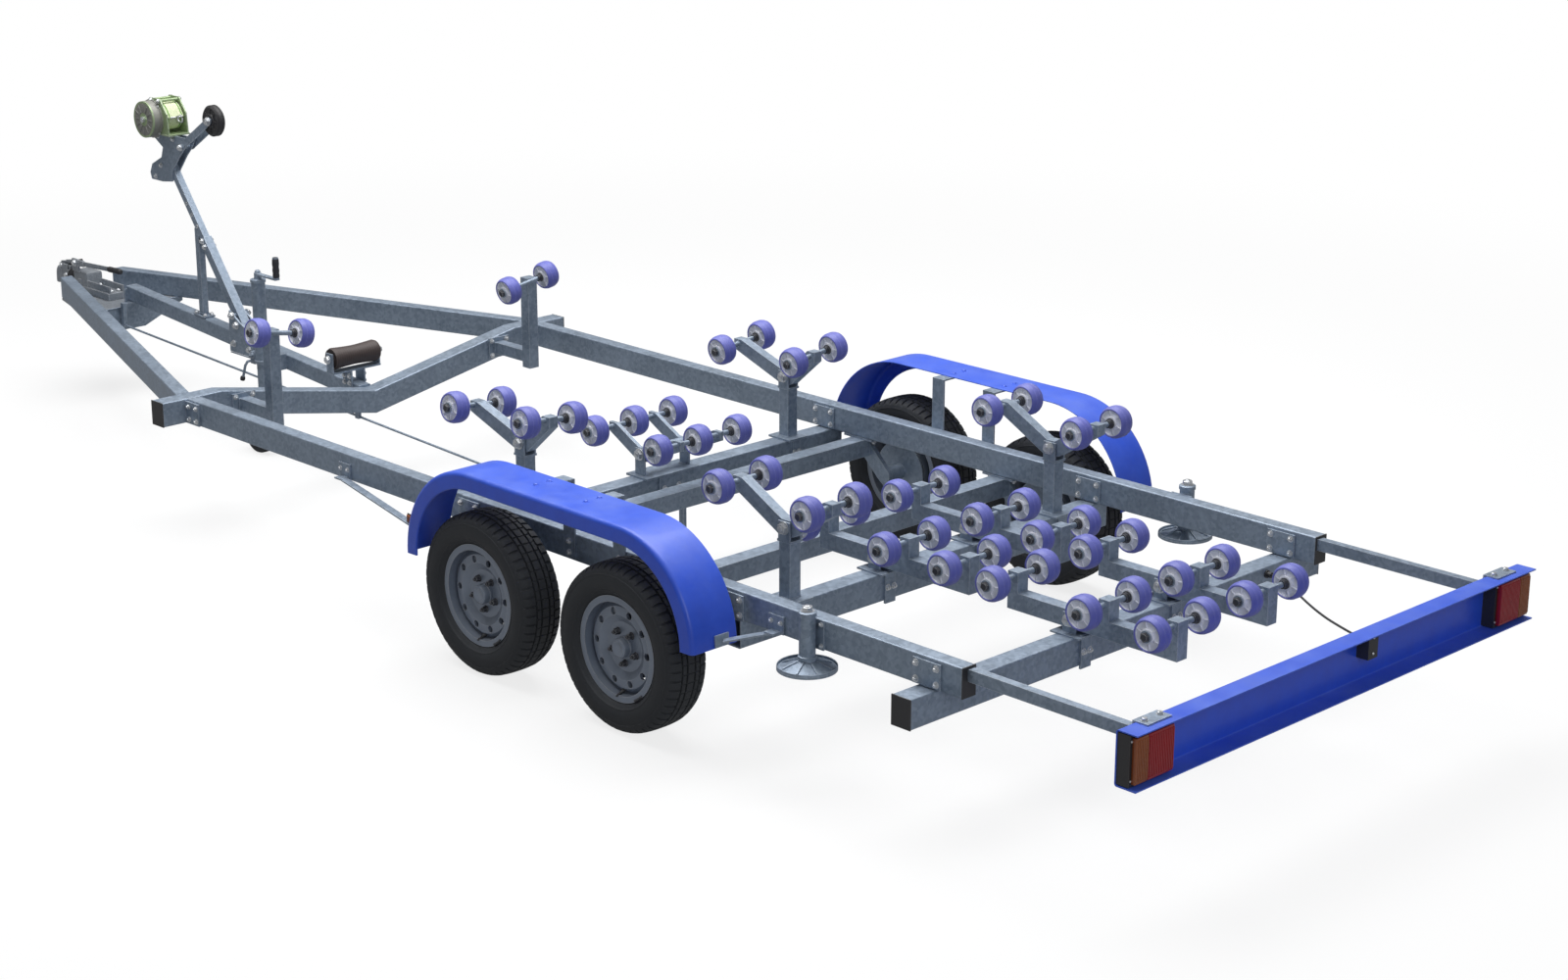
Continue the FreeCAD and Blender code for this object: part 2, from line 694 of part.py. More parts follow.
def make_mudguard_stays():
    """Brackets that carry each mudguard from the rail's outer side."""
    pieces = []
    under = s.guard_top - s.guard_sheet - s.seat_gap
    reach = s.guard_radius + s.seat_gap + 4
    for side, sign in SIDES:
        for index, x in enumerate((-130, 130)):
            foot_z = rail_bottom + 10
            upright = block(f"stay_{side}_{index}_upright", "2 * stay_width", "stay_thickness",
                            f"{under - foot_z}",
                            (x, sign * (s.rail_outer_y + s.stay_thickness / 2), (under + foot_z) / 2))
            shelf_y = sign * (s.guard_outer_y + s.rail_outer_y - 72) / 2
            shelf = block(f"stay_{side}_{index}_shelf", "2 * stay_width", "guard_outer_y - rail_outer_y - 72",
                          "stay_thickness", (x, shelf_y, under - s.stay_thickness / 2))
            pieces.append(join(f"stay_{side}_{index}", [upright, shelf]))
        for name, root_x, sense, end_z in (("front", s.stay_front_x, 1, s.guard_front_z),
                                           ("back", s.stay_back_x, -1, s.guard_back_z)):
            angle = math.asin((end_z + 24 - guard_z) / reach)
            tip = Vector(sense * (s.guard_centre_x + reach * math.cos(angle)), sign * (s.guard_inner_y + 70),
                         end_z + 24)
            along = Vector(-sense * math.sin(angle), 0, math.cos(angle)) * 20
            root_y = sign * (s.rail_outer_y + s.seat_gap + 20)
            foot = block(f"stay_{side}_{name}_foot", "70", "6", "60",
                         (root_x, sign * (s.rail_outer_y + 3 + s.seat_gap), rail_bottom + 34))
            shelf = block(f"stay_{side}_{name}_shelf", "40", "40", "6", (root_x, root_y, rail_bottom + 10))
            slant = abs(tip.y - root_y) / (tip - Vector(root_x, root_y, tip.z)).Length
            arm = bar(f"stay_{side}_{name}_arm", "stay_width", "stay_thickness",
                      (root_x, root_y, rail_bottom + 10),
                      tuple(tip + X_AXIS * (sense * (s.stay_width / 2 * slant + 1))), Z_AXIS)
            tab = bar(f"stay_{side}_{name}_tab", "60", "6", tuple(tip - along), tuple(tip + along), X_AXIS)
            pieces.append(join(f"stay_{side}_{name}", [foot, shelf, arm, tab]))
    finish("mudguard_stays", group("stays", pieces))


def make_axles():
    """Rubber-sprung axles: a square beam, trailing arms, stubs and brake backplates."""
    beam_z = rail_bottom - 8 - s.axle_beam / 2
    arm_y = s.rail_outer_y - 5 - s.arm_thickness / 2
    axles = []
    for end, axle_x in AXLES:
        label = "axle_" + end
        beam_x = axle_x + s.axle_trail
        pieces = [block(label + "_beam", "axle_beam", f"{2 * (arm_y - s.arm_thickness / 2)}",
                        "axle_beam", (beam_x, 0, beam_z))]
        for side, sign in SIDES:
            tag = f"{label}_{side}"
            seat = block(tag + "_seat", "150", "rail_width", "8", (beam_x, sign * rail_y, rail_bottom - 4))
            inner = sign * (arm_y - s.arm_thickness / 2)
            outer = sign * (arm_y + s.arm_thickness / 2)
            root = rod(tag + "_root", "36", (beam_x, inner, beam_z), (beam_x, outer, beam_z))
            heel = rod(tag + "_heel", "32", (axle_x, inner, wheel_z), (axle_x, outer, wheel_z))
            blade = bar(tag + "_blade", "64", "arm_thickness", (beam_x, sign * arm_y, beam_z),
                        (axle_x, sign * arm_y, wheel_z), Y_AXIS)
            plate_y = s.tyre_centre_y - 70
            spindle = rod(tag + "_spindle", "30", (axle_x, sign * (arm_y - 5), wheel_z),
                          (axle_x, sign * (plate_y + 6), wheel_z))
            backplate = rod(tag + "_backplate", "drum_radius + 4", (axle_x, sign * plate_y, wheel_z),
                            (axle_x, sign * (plate_y + 6), wheel_z))
            stub = rod(tag + "_stub", "stub_radius", (axle_x, sign * plate_y, wheel_z),
                       (axle_x, sign * (s.tyre_centre_y + 38), wheel_z))
            pieces += [seat, root, heel, blade, spindle, backplate, stub]
        axles.append(join(label + "_set", pieces))
    finish("axles", group("axle_pair", axles))


def rim_profile():
    """Half section of rim, disc, hub and drum: radius, then distance outwards from the centre."""
    barrel = s.rim_radius - s.rim_wall
    lip = s.rim_radius + s.rim_lip
    edge = s.rim_width / 2
    face = s.disc_offset
    back = face - 6
    bore = s.stub_radius + s.pin_clearance
    drum_in = s.drum_radius - s.drum_wall
    drum_back = -s.rim_width / 2 + 13
    return [
        (bore, drum_back - 4), (s.hub_radius, drum_back - 4), (s.hub_radius, back - 20),
        (drum_in, back - 20), (drum_in, drum_back), (s.drum_radius, drum_back),
        (s.drum_radius, back - 10), (78, back - 10), (78, back),
        (86, back), (112, back + 10), (142, back + 8), (barrel, back - 4),
        (barrel, -edge), (lip, -edge), (lip, -edge + s.rim_wall), (s.rim_radius, -edge + s.rim_wall),
        (s.rim_radius, edge - s.rim_wall), (lip, edge - s.rim_wall), (lip, edge), (barrel, edge),
        (barrel, face - 2), (142, face + 14), (112, face + 16), (86, face), (34, face),
        (34, face + 24), (28, face + 31), (0, face + 31), (0, 41), (bore, 41),
    ]


def tyre_profile():
    """Section of the tyre, from one bead over the tread to the other."""
    seat = s.rim_radius + s.seat_gap
    bead = s.rim_width / 2 - s.rim_wall - s.seat_gap
    wall = s.tyre_width / 2
    tread = s.tread_width / 2
    top = s.tyre_radius
    rise = top - s.rim_radius
    lip = s.rim_radius + s.rim_lip + 2
    half = [
        (seat, bead), (lip, bead), (lip + 4, s.rim_width / 2 + 1), (seat + 0.38 * rise, wall - 2),
        (seat + 0.55 * rise, wall), (seat + 0.75 * rise, wall - 5), (top - 12, tread + 18),
        (top - 3, tread + 4), (top, tread - 12),
    ]
    return half + [(radius, -y) for radius, y in reversed(half)]


def make_wheels():
    for end, axle_x in AXLES:
        for side, sign in SIDES:
            tag = f"{end}_{side}"
            spin = 0 if sign > 0 else 180
            tyre = turned(f"tyre_{tag}_ring", tyre_profile())
            finish(f"tyre_{tag}", move(tyre, axle_x, sign * s.tyre_centre_y, wheel_z, Z_AXIS, spin))
            disc = turned(f"wheel_{tag}_disc", rim_profile())
            holes = doc.addObject("Part::Compound", f"wheel_{tag}_holes")
            drills = []
            for step in range(10):
                angle = math.radians(36 * step)
                drill = doc.addObject("Part::Cylinder", f"wheel_{tag}_drill_{step}")
                drill.setExpression("Radius", bound("hand_hole_radius"))
                drill.Height = 44
                base = Vector(s.hand_hole_ring * math.cos(angle), s.disc_offset - 14,
                              s.hand_hole_ring * math.sin(angle))
                drill.Placement = FreeCAD.Placement(base, FreeCAD.Rotation(Z_AXIS, Y_AXIS))
                drills.append(drill)
            holes.Links = drills
            drilled = cut(f"wheel_{tag}_drilled", disc, holes)
            finish(f"wheel_{tag}", move(drilled, axle_x, sign * s.tyre_centre_y, wheel_z, Z_AXIS, spin))


def make_light_bar():
    front = s.light_back + s.light_depth
    middle_z = s.light_bottom + s.light_height / 2
    web = block("light_web", "light_sheet", "2 * light_half", "light_height",
                (front - s.light_sheet / 2, 0, middle_z))
    flanges = []
    for name, z in (("light_sill", s.light_bottom + s.light_sheet / 2),
                    ("light_lintel", s.light_bottom + s.light_height - s.light_sheet / 2)):
        flanges.append(block(name, "light_depth", "2 * light_half", "light_sheet",
                             (s.light_back + s.light_depth / 2, 0, z)))
    finish("light_bar", join("light_channel", [web] + flanges))


def make_light_arms():
    """Arms that slide out of the rails' rear ends, with the clamp plates on the light bar."""
    front = s.light_back + s.light_depth
    top = s.light_bottom + s.light_height
    pieces = []
    for side, sign in SIDES:
        inside_end = s.rail_back + 220
        arm = block(f"light_arm_{side}", f"{inside_end - front - 5}", "light_arm_width",
                    "light_arm_height", ((inside_end + front + 5) / 2, sign * s.light_arm_y, s.light_arm_z))
        low = s.light_arm_z - s.light_arm_height
        foot = block(f"light_foot_{side}", "5", "110", f"{top + 5 - low}",
                     (front + 2.5, sign * (s.light_arm_y + 10), (top + 5 + low) / 2))
        cap = block(f"light_cap_{side}", "55", "110", "5",
                    (front - 22.5, sign * (s.light_arm_y + 10), top + 2.5))
        pieces.append(join(f"light_arm_set_{side}", [arm, foot, cap]))
    finish("light_bar_arms", group("light_arms", pieces))


def make_lamps():
    web_back = s.light_back + s.light_depth - s.light_sheet
    inside = s.light_height - 2 * s.light_sheet
    middle_z = s.light_bottom + s.light_height / 2
    shells = []
    lenses = []
    for side, sign in SIDES:
        y = sign * (s.light_half - s.lamp_length / 2 - 2)
        shells.append(block(f"lamp_shell_{side}", "46", "lamp_length", f"{inside - 8}",
                            (web_back - 23, y, middle_z)))
        lenses.append(block(f"lamp_lens_{side}", "18", "lamp_length - 16", f"{inside - 24}",
                            (web_back - 46 - 9, y, middle_z)))
    plate_lamp = block("plate_lamp", "44", "50", "86",
                       (web_back - 22, s.plate_lamp_y, middle_z + inside / 2 - 43))
    shells.append(plate_lamp)
    finish("lamp_housings", group("lamp_shells", shells))
    finish("lamp_lenses", group("lenses", lenses))


def post_place(along, ahead):
    """A place on the leaning winch post: up its length, then square to it."""
    lean = math.radians(s.post_lean)
    return (s.post_x + along * math.sin(lean) + ahead * math.cos(lean),
            post_base_z + along * math.cos(lean) - ahead * math.sin(lean))


def post_outline(low_z, high_z, half):
    """Side view of a leaning tube, square at its top and cut level at its foot."""
    lean = math.radians(s.post_lean)
    top = (high_z - post_base_z) / math.cos(lean)
    back_top = post_place(top, -half)
    front_top = post_place(top, half)
    across = half / math.cos(lean)
    foot_x = s.post_x + (low_z - post_base_z) * post_slope
    return [(foot_x - across, low_z), (foot_x + across, low_z), front_top, back_top]


# Side view of the winch's head plate, as shares of its length, from the drum's axle
winch_base_z = drum_z - s.winch_drop
head_top = winch_base_z - s.seat_gap
HEAD_OUTLINE = ((-0.13, -0.63), (-0.15, -0.49), (-0.22, -0.41), (-0.34, -0.27), (-0.5, -0.12), (-0.58, 0),
                (0.26, 0), (0.26, -0.07), (0.05, -0.19), (0.1, -0.33), (0.34, -0.45), (0.4, -0.57),
                (0.37, -0.66), (0.1, -0.66))


def make_winch_post():
    """The leaning post, its strut and foot cheeks, the head plates and the arms of the bow roller."""
    outer_half = s.post_outer / 2
    head_y = s.post_inner / 2 + s.head_plate / 2
    foot_z = spine_z(s.post_x + s.post_outer) + s.spine_height / 2 + s.seat_gap
    outer = side_plate("post_outer_tube", post_outline(foot_z, s.post_sleeve_z, outer_half), "post_outer", 0)
    inner = side_plate("post_inner_tube",
                       post_outline(s.post_sleeve_z - s.post_outer, s.post_top_z, s.post_inner / 2),
                       "post_inner", 0)
    pieces = [outer, inner]
    low = spine_z(s.post_x - s.cheek_behind) - s.spine_height / 2 - s.cheek_plate
    cheek = [(-s.cheek_behind, low), (s.cheek_ahead, low), (s.cheek_ahead, foot_z + 0.2 * s.cheek_rise),
             (s.cheek_ahead - 5, foot_z + s.cheek_rise), (0.2 * s.cheek_ahead, foot_z + 0.6 * s.cheek_rise),
             (-s.cheek_behind, foot_z + 0.1 * s.cheek_rise)]
    head = [(x * s.head_plate_length, z * s.head_plate_length) for x, z in HEAD_OUTLINE]
    arm_in = s.bow_roller_width / 2 + s.seat_gap
    arm_root = (drum_x - 0.42 * s.head_plate_length, head_top - 0.13 * s.head_plate_length)
    for side, sign in SIDES:
        pieces.append(side_plate(f"post_cheek_{side}", [(s.post_x + x, z) for x, z in cheek], "cheek_plate",
                                 sign * (s.spine_width / 2 + s.cheek_plate / 2 + s.seat_gap)))
        pieces.append(side_plate(f"post_head_{side}", [(drum_x + x, head_top + z) for x, z in head],
                                 "head_plate", sign * head_y))
        arm_y = sign * (arm_in + s.head_plate / 2)
        pieces.append(bar(f"post_bow_arm_{side}", "2 * bow_arm_radius", "head_plate",
                          (arm_root[0], arm_y, arm_root[1]), (bow_roller_x, arm_y, bow_roller_z), Y_AXIS))
        tip = [(bow_roller_x, sign * y, bow_roller_z) for y in (arm_in, arm_in + s.head_plate)]
        pieces.append(rod(f"post_bow_tip_{side}", "bow_arm_radius", tip[0], tip[1]))
    bolt_half = s.spine_width / 2 + s.bolt_proud
    for index, share in enumerate((0.55, 1.05)):
        x, z = post_place(share * s.cheek_rise, 0)
        pieces.append(rod(f"post_bolt_{index}", "bolt_radius", (x, -bolt_half, z), (x, bolt_half, z)))
    pieces.append(block("post_under", "cheek_behind + cheek_ahead", "spine_width + 2 * cheek_plate",
                        "cheek_plate", (s.post_x + (s.cheek_ahead - s.cheek_behind) / 2, 0,
                                        low + s.cheek_plate / 2)))
    strut_x = s.post_x + s.strut_ahead
    strut_low = spine_z(strut_x + s.strut_width) + s.spine_height / 2 + s.seat_gap
    strut_high = post_base_z + (s.strut_ahead - s.strut_width / 2) / post_slope
    pieces.append(block("post_strut", "strut_width", "strut_width", f"{strut_high - strut_low}",
                        (strut_x, 0, (strut_high + strut_low) / 2)))
    pieces.append(block("post_strut_foot", "3 * strut_width", "spine_width", "head_plate",
                        (strut_x, 0, strut_low + s.head_plate / 2), Y_AXIS, -spine_angle))
    pin_half = arm_in + 2 * s.head_plate
    pieces.append(rod("post_bow_pin", "10", (bow_roller_x, -pin_half, bow_roller_z),
                      (bow_roller_x, pin_half, bow_roller_z)))
    pieces.append(rod("post_arm_bolt", "bolt_radius", (arm_root[0], -pin_half, arm_root[1]),
                      (arm_root[0], pin_half, arm_root[1])))
    finish("winch_post", join("post", pieces))


def make_winch():
    """Hand winch: a folded frame, a drum with its strap, the gear cover and the crank."""
    base_z = winch_base_z
    pieces = [block("winch_base", "190", "strap_width + 28", "6", (drum_x, 0, base_z + 3))]
    cheek_y = s.strap_width / 2 + 8
    for side, sign in SIDES:
        pieces.append(side_plate(f"winch_cheek_{side}",
                                 [(drum_x - 90, base_z), (drum_x + 90, base_z), (drum_x + 86, drum_z + 20),
                                  (drum_x + 52, drum_z + 84), (drum_x - 30, drum_z + 84),
                                  (drum_x - 80, drum_z + 20)],
                                 "6", sign * cheek_y))
    for name, ahead, above in (("front", 40, 74), ("back", -20, 74)):
        pieces.append(rod(f"winch_tie_{name}", "7", (drum_x + ahead, -cheek_y - 4, drum_z + above),
                          (drum_x + ahead, cheek_y + 4, drum_z + above)))
    crank_y = -cheek_y - 26
    shaft = rod("winch_shaft", "12", (drum_x, -cheek_y - 12, drum_z), (drum_x, cheek_y + 12, drum_z))
    gear_x = drum_x + s.gear_ahead
    gear_z = drum_z + s.gear_above
    cover = rod("winch_cover", "gear_radius", (gear_x, cheek_y + 3, gear_z),
                (gear_x, cheek_y + s.gear_depth, gear_z))
    rim = rod("winch_cover_rim", "gear_radius + 5", (gear_x, cheek_y + 3, gear_z),
              (gear_x, cheek_y + 9, gear_z))
    pinion_x = drum_x + 72
    pinion_z = drum_z - 46
    pinion = rod("winch_pinion_shaft", "9", (pinion_x, crank_y - 8, pinion_z),
                 (pinion_x, cheek_y + 16, pinion_z))
    crank = bar("winch_crank", "26", "7", (pinion_x, crank_y, pinion_z),
                (pinion_x + s.crank_length * 0.6, crank_y, pinion_z - s.crank_length * 0.8), Y_AXIS)
    grip_x = pinion_x + s.crank_length * 0.56
    grip_z = pinion_z - s.crank_length * 0.75
    grip = rod("winch_grip", "14", (grip_x, crank_y + 2, grip_z), (grip_x, crank_y - 96, grip_z))
    pieces += [shaft, cover, rim, pinion, crank, grip]
    finish("winch_frame", join("winch", pieces))
    width = s.strap_width / 2
    bore = 12 + s.seat_gap
    strap = turned("strap_roll", [(bore, -width), (s.strap_radius, -width), (s.strap_radius, width),
                                  (bore, width)])
    finish("winch_strap", move(strap, drum_x, 0, drum_z))


def barrel_roller(name, radius, width, bore):
    """A moulded roller, turned: a rounded tread, set-back sides and a hub."""
    half = width / 2
    hub = 0.42 * radius
    side = half - 8
    upper = [(bore, half), (hub, half), (hub, side), (0.8 * radius, side), (0.86 * radius, half - 2),
             (0.95 * radius, half - 8), (radius, 0.45 * half)]
    return turned(name, upper + [(r, -y) for r, y in reversed(upper)])


roller_master = barrel_roller("boat_roller", s.roller_radius, s.roller_width, s.roller_rod + s.seat_gap)


def rollers(label, places):
    """Copies of the moulded boat roller, each given by its place and its axle's tilt, as one node."""
    doc.recompute()
    item = doc.addObject("Part::Feature", label + "_set")
    copies = []
    for place, tilt in places:
        copy = roller_master.Shape.copy()
        copy.Placement = FreeCAD.Placement(spot(*place), FreeCAD.Rotation(X_AXIS, tilt))
        copies.append(copy)
    item.Shape = Part.makeCompound(copies)
    finish(label, item)


def along_axle(middle, tilt, distance):
    """A place on an axle that passes through its middle and is tilted out of level."""
    turn = math.radians(tilt)
    x, y, z = middle
    return (x, y + distance * math.cos(turn), z + distance * math.sin(turn))


def roller_axle(tag, middle, count, gap, tilt=0.0):
    """A rod through a row of rollers, with a washer outside each of its ends."""
    half = (count - 1) * gap / 2 + s.roller_width / 2
    washer = s.washer_thickness
    ends = [along_axle(middle, tilt, sign * (half + washer + s.rod_overhang)) for sign in (-1, 1)]
    pieces = [rod(tag + "_rod", "roller_rod", *ends)]
    for name, sign in (("near", 1), ("off", -1)):
        inner = sign * (half + s.seat_gap)
        pieces.append(rod(f"{tag}_washer_{name}", "2 * roller_rod", along_axle(middle, tilt, inner),
                          along_axle(middle, tilt, inner + sign * washer)))
    return pieces


def roller_row(middle, count, gap, tilt=0.0):
    start = -(count - 1) * gap / 2
    return [(along_axle(middle, tilt, start + gap * index), tilt) for index in range(count)]


def pivot_hole(name, body, x, y, z, width):
    """The running hole for a cradle's pivot pin."""
    bore = rod(name + "_bore", "pivot_radius + pin_clearance", (x, y - width, z), (x, y + width, z))
    return cut(name, body, bore)


def outer_cradle(label, pivot_x, y, lead, tail, front_z, back_z, tilt):
    """A shallow-vee rocker on a pivot, with a rod of two rollers at each end."""
    low = s.outer_pivot_z
    front = pivot_x + lead
    back = pivot_x - tail
    rocker = side_plate(label + "_rocker",
                        [(back - 24, back_z + 16), (back - 24, back_z - 24), (pivot_x - 34, low - 28),
                         (pivot_x + 34, low - 28), (front + 24, front_z - 24), (front + 24, front_z + 16),
                         (front - 16, front_z + 16), (pivot_x + 18, low + 26), (pivot_x - 18, low + 26),
                         (back + 16, back_z + 16)],
                        "rocker_width", y)
    rocker = pivot_hole(label + "_bored", rocker, pivot_x, y, low, s.rocker_width)
    pieces = [rocker]
    places = []
    for end, x, high in (("front", front, front_z), ("back", back, back_z)):
        middle = (x, y, high)
        pieces += roller_axle(f"{label}_{end}", middle, 2, s.outer_roller_gap, tilt)
        places += roller_row(middle, 2, s.outer_roller_gap, tilt)
    finish(label + "_cradle", join(label + "_frame", pieces))
    rollers(label + "_rollers", places)


def inner_cradle(label, pivot_x, y):
    """A straight beam on a pivot, with three rods of two rollers standing on it."""
    front = pivot_x + s.inner_lead
    middle = pivot_x - s.inner_middle
    back = pivot_x - s.inner_tail
    low = s.inner_pivot_z
    high = s.inner_rod_z
    beam = block(label + "_beam", "inner_lead + inner_tail + 2 * inner_lug", "inner_beam_width",
                 "inner_beam_height", ((front + back) / 2, y, low))
    beam = pivot_hole(label + "_bored", beam, pivot_x, y, low, s.inner_beam_width)
    pieces = [beam]
    places = []
    for end, x in (("front", front), ("middle", middle), ("back", back)):
        crest = high + s.roller_rod + 8
        foot = low + s.inner_beam_height / 2 - 2
        pieces.append(block(f"{label}_{end}_lug", "2 * inner_lug", "inner_beam_width", f"{crest - foot}",
                            (x, y, (crest + foot) / 2)))
        pieces += roller_axle(f"{label}_{end}", (x, y, high), 2, s.inner_roller_gap)
        places += roller_row((x, y, high), 2, s.inner_roller_gap)
    finish(label + "_cradle", join(label + "_frame", pieces))
    rollers(label + "_rollers", places)


def centre_cradle():
    """Two bent arms on one pivot tube, with two rods of three rollers over the keel."""
    pivot_x = s.front_cross_x
    front = pivot_x + s.centre_lead
    back = pivot_x - s.centre_tail
    low = s.centre_pivot_z
    high = s.centre_rod_z
    arm_y = s.centre_roller_gap / 2
    pieces = []
    places = []
    for side, sign in SIDES:
        pieces.append(side_plate(f"centre_arm_{side}",
                                 [(back - 22, high + 15), (back - 22, high - 20), (pivot_x - 30, low - 26),
                                  (pivot_x + 30, low - 26), (front + 22, high - 20), (front + 22, high + 15),
                                  (front - 15, high + 15), (pivot_x + 16, low + 24), (pivot_x - 16, low + 24),
                                  (back + 15, high + 15)],
                                 "16", sign * arm_y))
    pieces.append(rod("centre_tube", "pivot_radius + 12", (pivot_x, -arm_y, low), (pivot_x, arm_y, low)))
    for end, x in (("front", front), ("back", back)):
        pieces += roller_axle(f"centre_{end}", (x, 0, high), 3, s.centre_roller_gap)
        places += roller_row((x, 0, high), 3, s.centre_roller_gap)
    frame = join("centre_frame", pieces)
    finish("centre_cradle", pivot_hole("centre_bored", frame, pivot_x, 0, low, s.centre_roller_gap))
    rollers("centre_rollers", places)


def pivot_stand(tag, x, y, width, pivot_z, column):
    """A column on a cross member, with two ears and the pin of one cradle."""
    base = rail_bottom
    ear_y = width / 2 + s.ear_gap + s.ear_thickness / 2
    saddle_z = pivot_z - 46 if column else base + 4
    foot = 8 if column else s.inner_foot
    pieces = [block(tag + "_foot", "cross_width + 40", f"{width + 60}", f"{foot}", (x, y, base + foot / 2))]
    if column:
        pieces.append(block(tag + "_column", "50", "50", f"{saddle_z - base}", (x, y, (saddle_z + base) / 2)))
        pieces.append(block(tag + "_saddle", "64", f"{2 * ear_y + s.ear_thickness}", "8", (x, y, saddle_z)))
    for name, sign in (("near", 1), ("off", -1)):
        pieces.append(block(f"{tag}_ear_{name}", "54", "ear_thickness", f"{pivot_z + 22 - saddle_z}",
                            (x, y + sign * ear_y, (pivot_z + 22 + saddle_z) / 2)))
        pieces.append(block(f"{tag}_hook_{name}", "8", f"{width}", "cross_height + 16",
                            (x + sign * (s.cross_width / 2 + 4), y, base - s.cross_height / 2)))
    half = ear_y + s.ear_thickness / 2 + 8
    pieces.append(rod(tag + "_pin", "pivot_radius", (x, y - half, pivot_z), (x, y + half, pivot_z)))
    return join(tag + "_stand", pieces)


def make_stands():
    stands = []
    for side, sign in SIDES:
        for end, x in (("front", s.front_cross_x), ("back", s.back_cross_x)):
            stands.append(pivot_stand(f"outer_{end}_{side}", x, sign * s.outer_y, s.rocker_width,
                                      s.outer_pivot_z, True))
        for end, x in (("back", s.back_cross_x), ("rear", s.rear_cross_x)):
            stands.append(pivot_stand(f"inner_{end}_{side}", x, sign * s.inner_y, s.inner_beam_width,
                                      s.inner_pivot_z, False))
    return stands + [centre_stand()]


def centre_stand():
    """The keel cradle's stand: a pin through its tube, between two upright ears."""
    x = s.front_cross_x
    ear_y = s.centre_roller_gap / 2 + 8 + s.ear_gap + s.ear_thickness / 2
    pieces = [block("centre_foot", "cross_width + 40", f"{2 * ear_y + 40}", "8", (x, 0, rail_bottom + 4))]
    for name, sign in (("near", 1), ("off", -1)):
        top = s.centre_pivot_z + 22
        pieces.append(block(f"centre_ear_{name}", "54", "ear_thickness", f"{top - rail_bottom}",
                            (x, sign * ear_y, (top + rail_bottom) / 2)))
        pieces.append(block(f"centre_hook_{name}", "8", "120", "cross_height + 16",
                            (x + sign * (s.cross_width / 2 + 4), 0, rail_bottom - s.cross_height / 2)))
    half = ear_y + s.ear_thickness / 2 + 10
    pieces.append(rod("centre_pin", "pivot_radius", (x, -half, s.centre_pivot_z),
                      (x, half, s.centre_pivot_z)))
    return join("centre_stand", pieces)


def make_front_posts():
    """Posts behind the dipped member, each with a tilted rod for its two rollers."""
    posts = []
    half = s.front_post_width / 2
    for side, sign in SIDES:
        y = sign * s.front_post_y
        tilt = sign * s.front_roll
        middle = (front_post_x - half, sign * s.front_pair_y, s.front_rod_z)
        low = vee_height_at(y) - s.vee_height / 2
        top = s.front_rod_z + 16
        column = block(f"front_post_{side}_column", "front_post_width", "front_post_width",
                       f"{top - low}", (front_post_x, y, (top + low) / 2))
        bridge_start = front_post_x
        bridge_end = s.rail_front - s.seat_gap
        bridge = block(f"front_post_{side}_bridge", f"{bridge_end - bridge_start}", "front_post_width",
                       "50", ((bridge_end + bridge_start) / 2, y, vee_height_at(y)))
        flange = block(f"front_post_{side}_flange", "8", "front_post_width + 60", "90",
                       (bridge_end - 4, y, vee_height_at(y)))
        pieces = [column, bridge, flange]
        pieces += roller_axle(f"front_post_{side}", middle, 2, s.front_roller_gap, tilt)
        posts.append(join(f"front_post_{side}", pieces))
        rollers(f"front_rollers_{side}", roller_row(middle, 2, s.front_roller_gap, tilt))
    return posts


def make_keel_and_bow_rollers():
    centre_z = s.keel_roller_z
    half = s.keel_roller_length / 2
    bore = 10 + s.pin_clearance
    radius = s.keel_roller_radius
    keel = turned("keel_body", [(bore, -half), (radius * 0.9, -half), (radius, -half + 12),
                                (radius * 0.86, 0), (radius, half - 12), (radius * 0.9, half),
                                (bore, half)])
    finish("keel_roller", move(keel, keel_x, 0, centre_z))
    bracket = []
    yoke_z = centre_z - radius - 12
    for side, sign in SIDES:
        ear_y = sign * (half + 6)
        ear_top = centre_z + 25
        ear_low = yoke_z - 4
        bracket.append(block(f"keel_ear_{side}", "44", "6", f"{ear_top - ear_low}",
                             (keel_x, ear_y, (ear_top + ear_low) / 2)))
    bracket.append(block("keel_yoke", "50", f"{2 * half + 18}", "8", (keel_x, 0, yoke_z)))
    bracket.append(rod("keel_pin", "10", (keel_x, -half - 16, centre_z), (keel_x, half + 16, centre_z)))
    low = spine_z(keel_x) - s.spine_height / 2 - s.seat_gap
    for side, sign in SIDES:
        cheek_y = sign * (s.spine_width / 2 + s.seat_gap + 3)
        bracket.append(block(f"keel_cheek_{side}", "64", "6", f"{yoke_z - low + 12}",
                             (keel_x, cheek_y, (yoke_z + low - 12) / 2)))
    bracket.append(block("keel_strap", "64", "spine_width + 12", "6", (keel_x, 0, low - 9)))
    bow_half = s.bow_roller_width / 2
    bow = turned("bow_body", [(bore, -bow_half), (30, -bow_half), (34, -bow_half + 4),
                              (s.bow_roller_radius - 8, -bow_half + 4), (s.bow_roller_radius, -bow_half + 12),
                              (s.bow_roller_radius, bow_half - 12), (s.bow_roller_radius - 8, bow_half - 4),
                              (34, bow_half - 4), (30, bow_half), (bore, bow_half)])
    finish("bow_roller", move(bow, bow_roller_x, 0, bow_roller_z))
    return [join("keel_holder", bracket)]


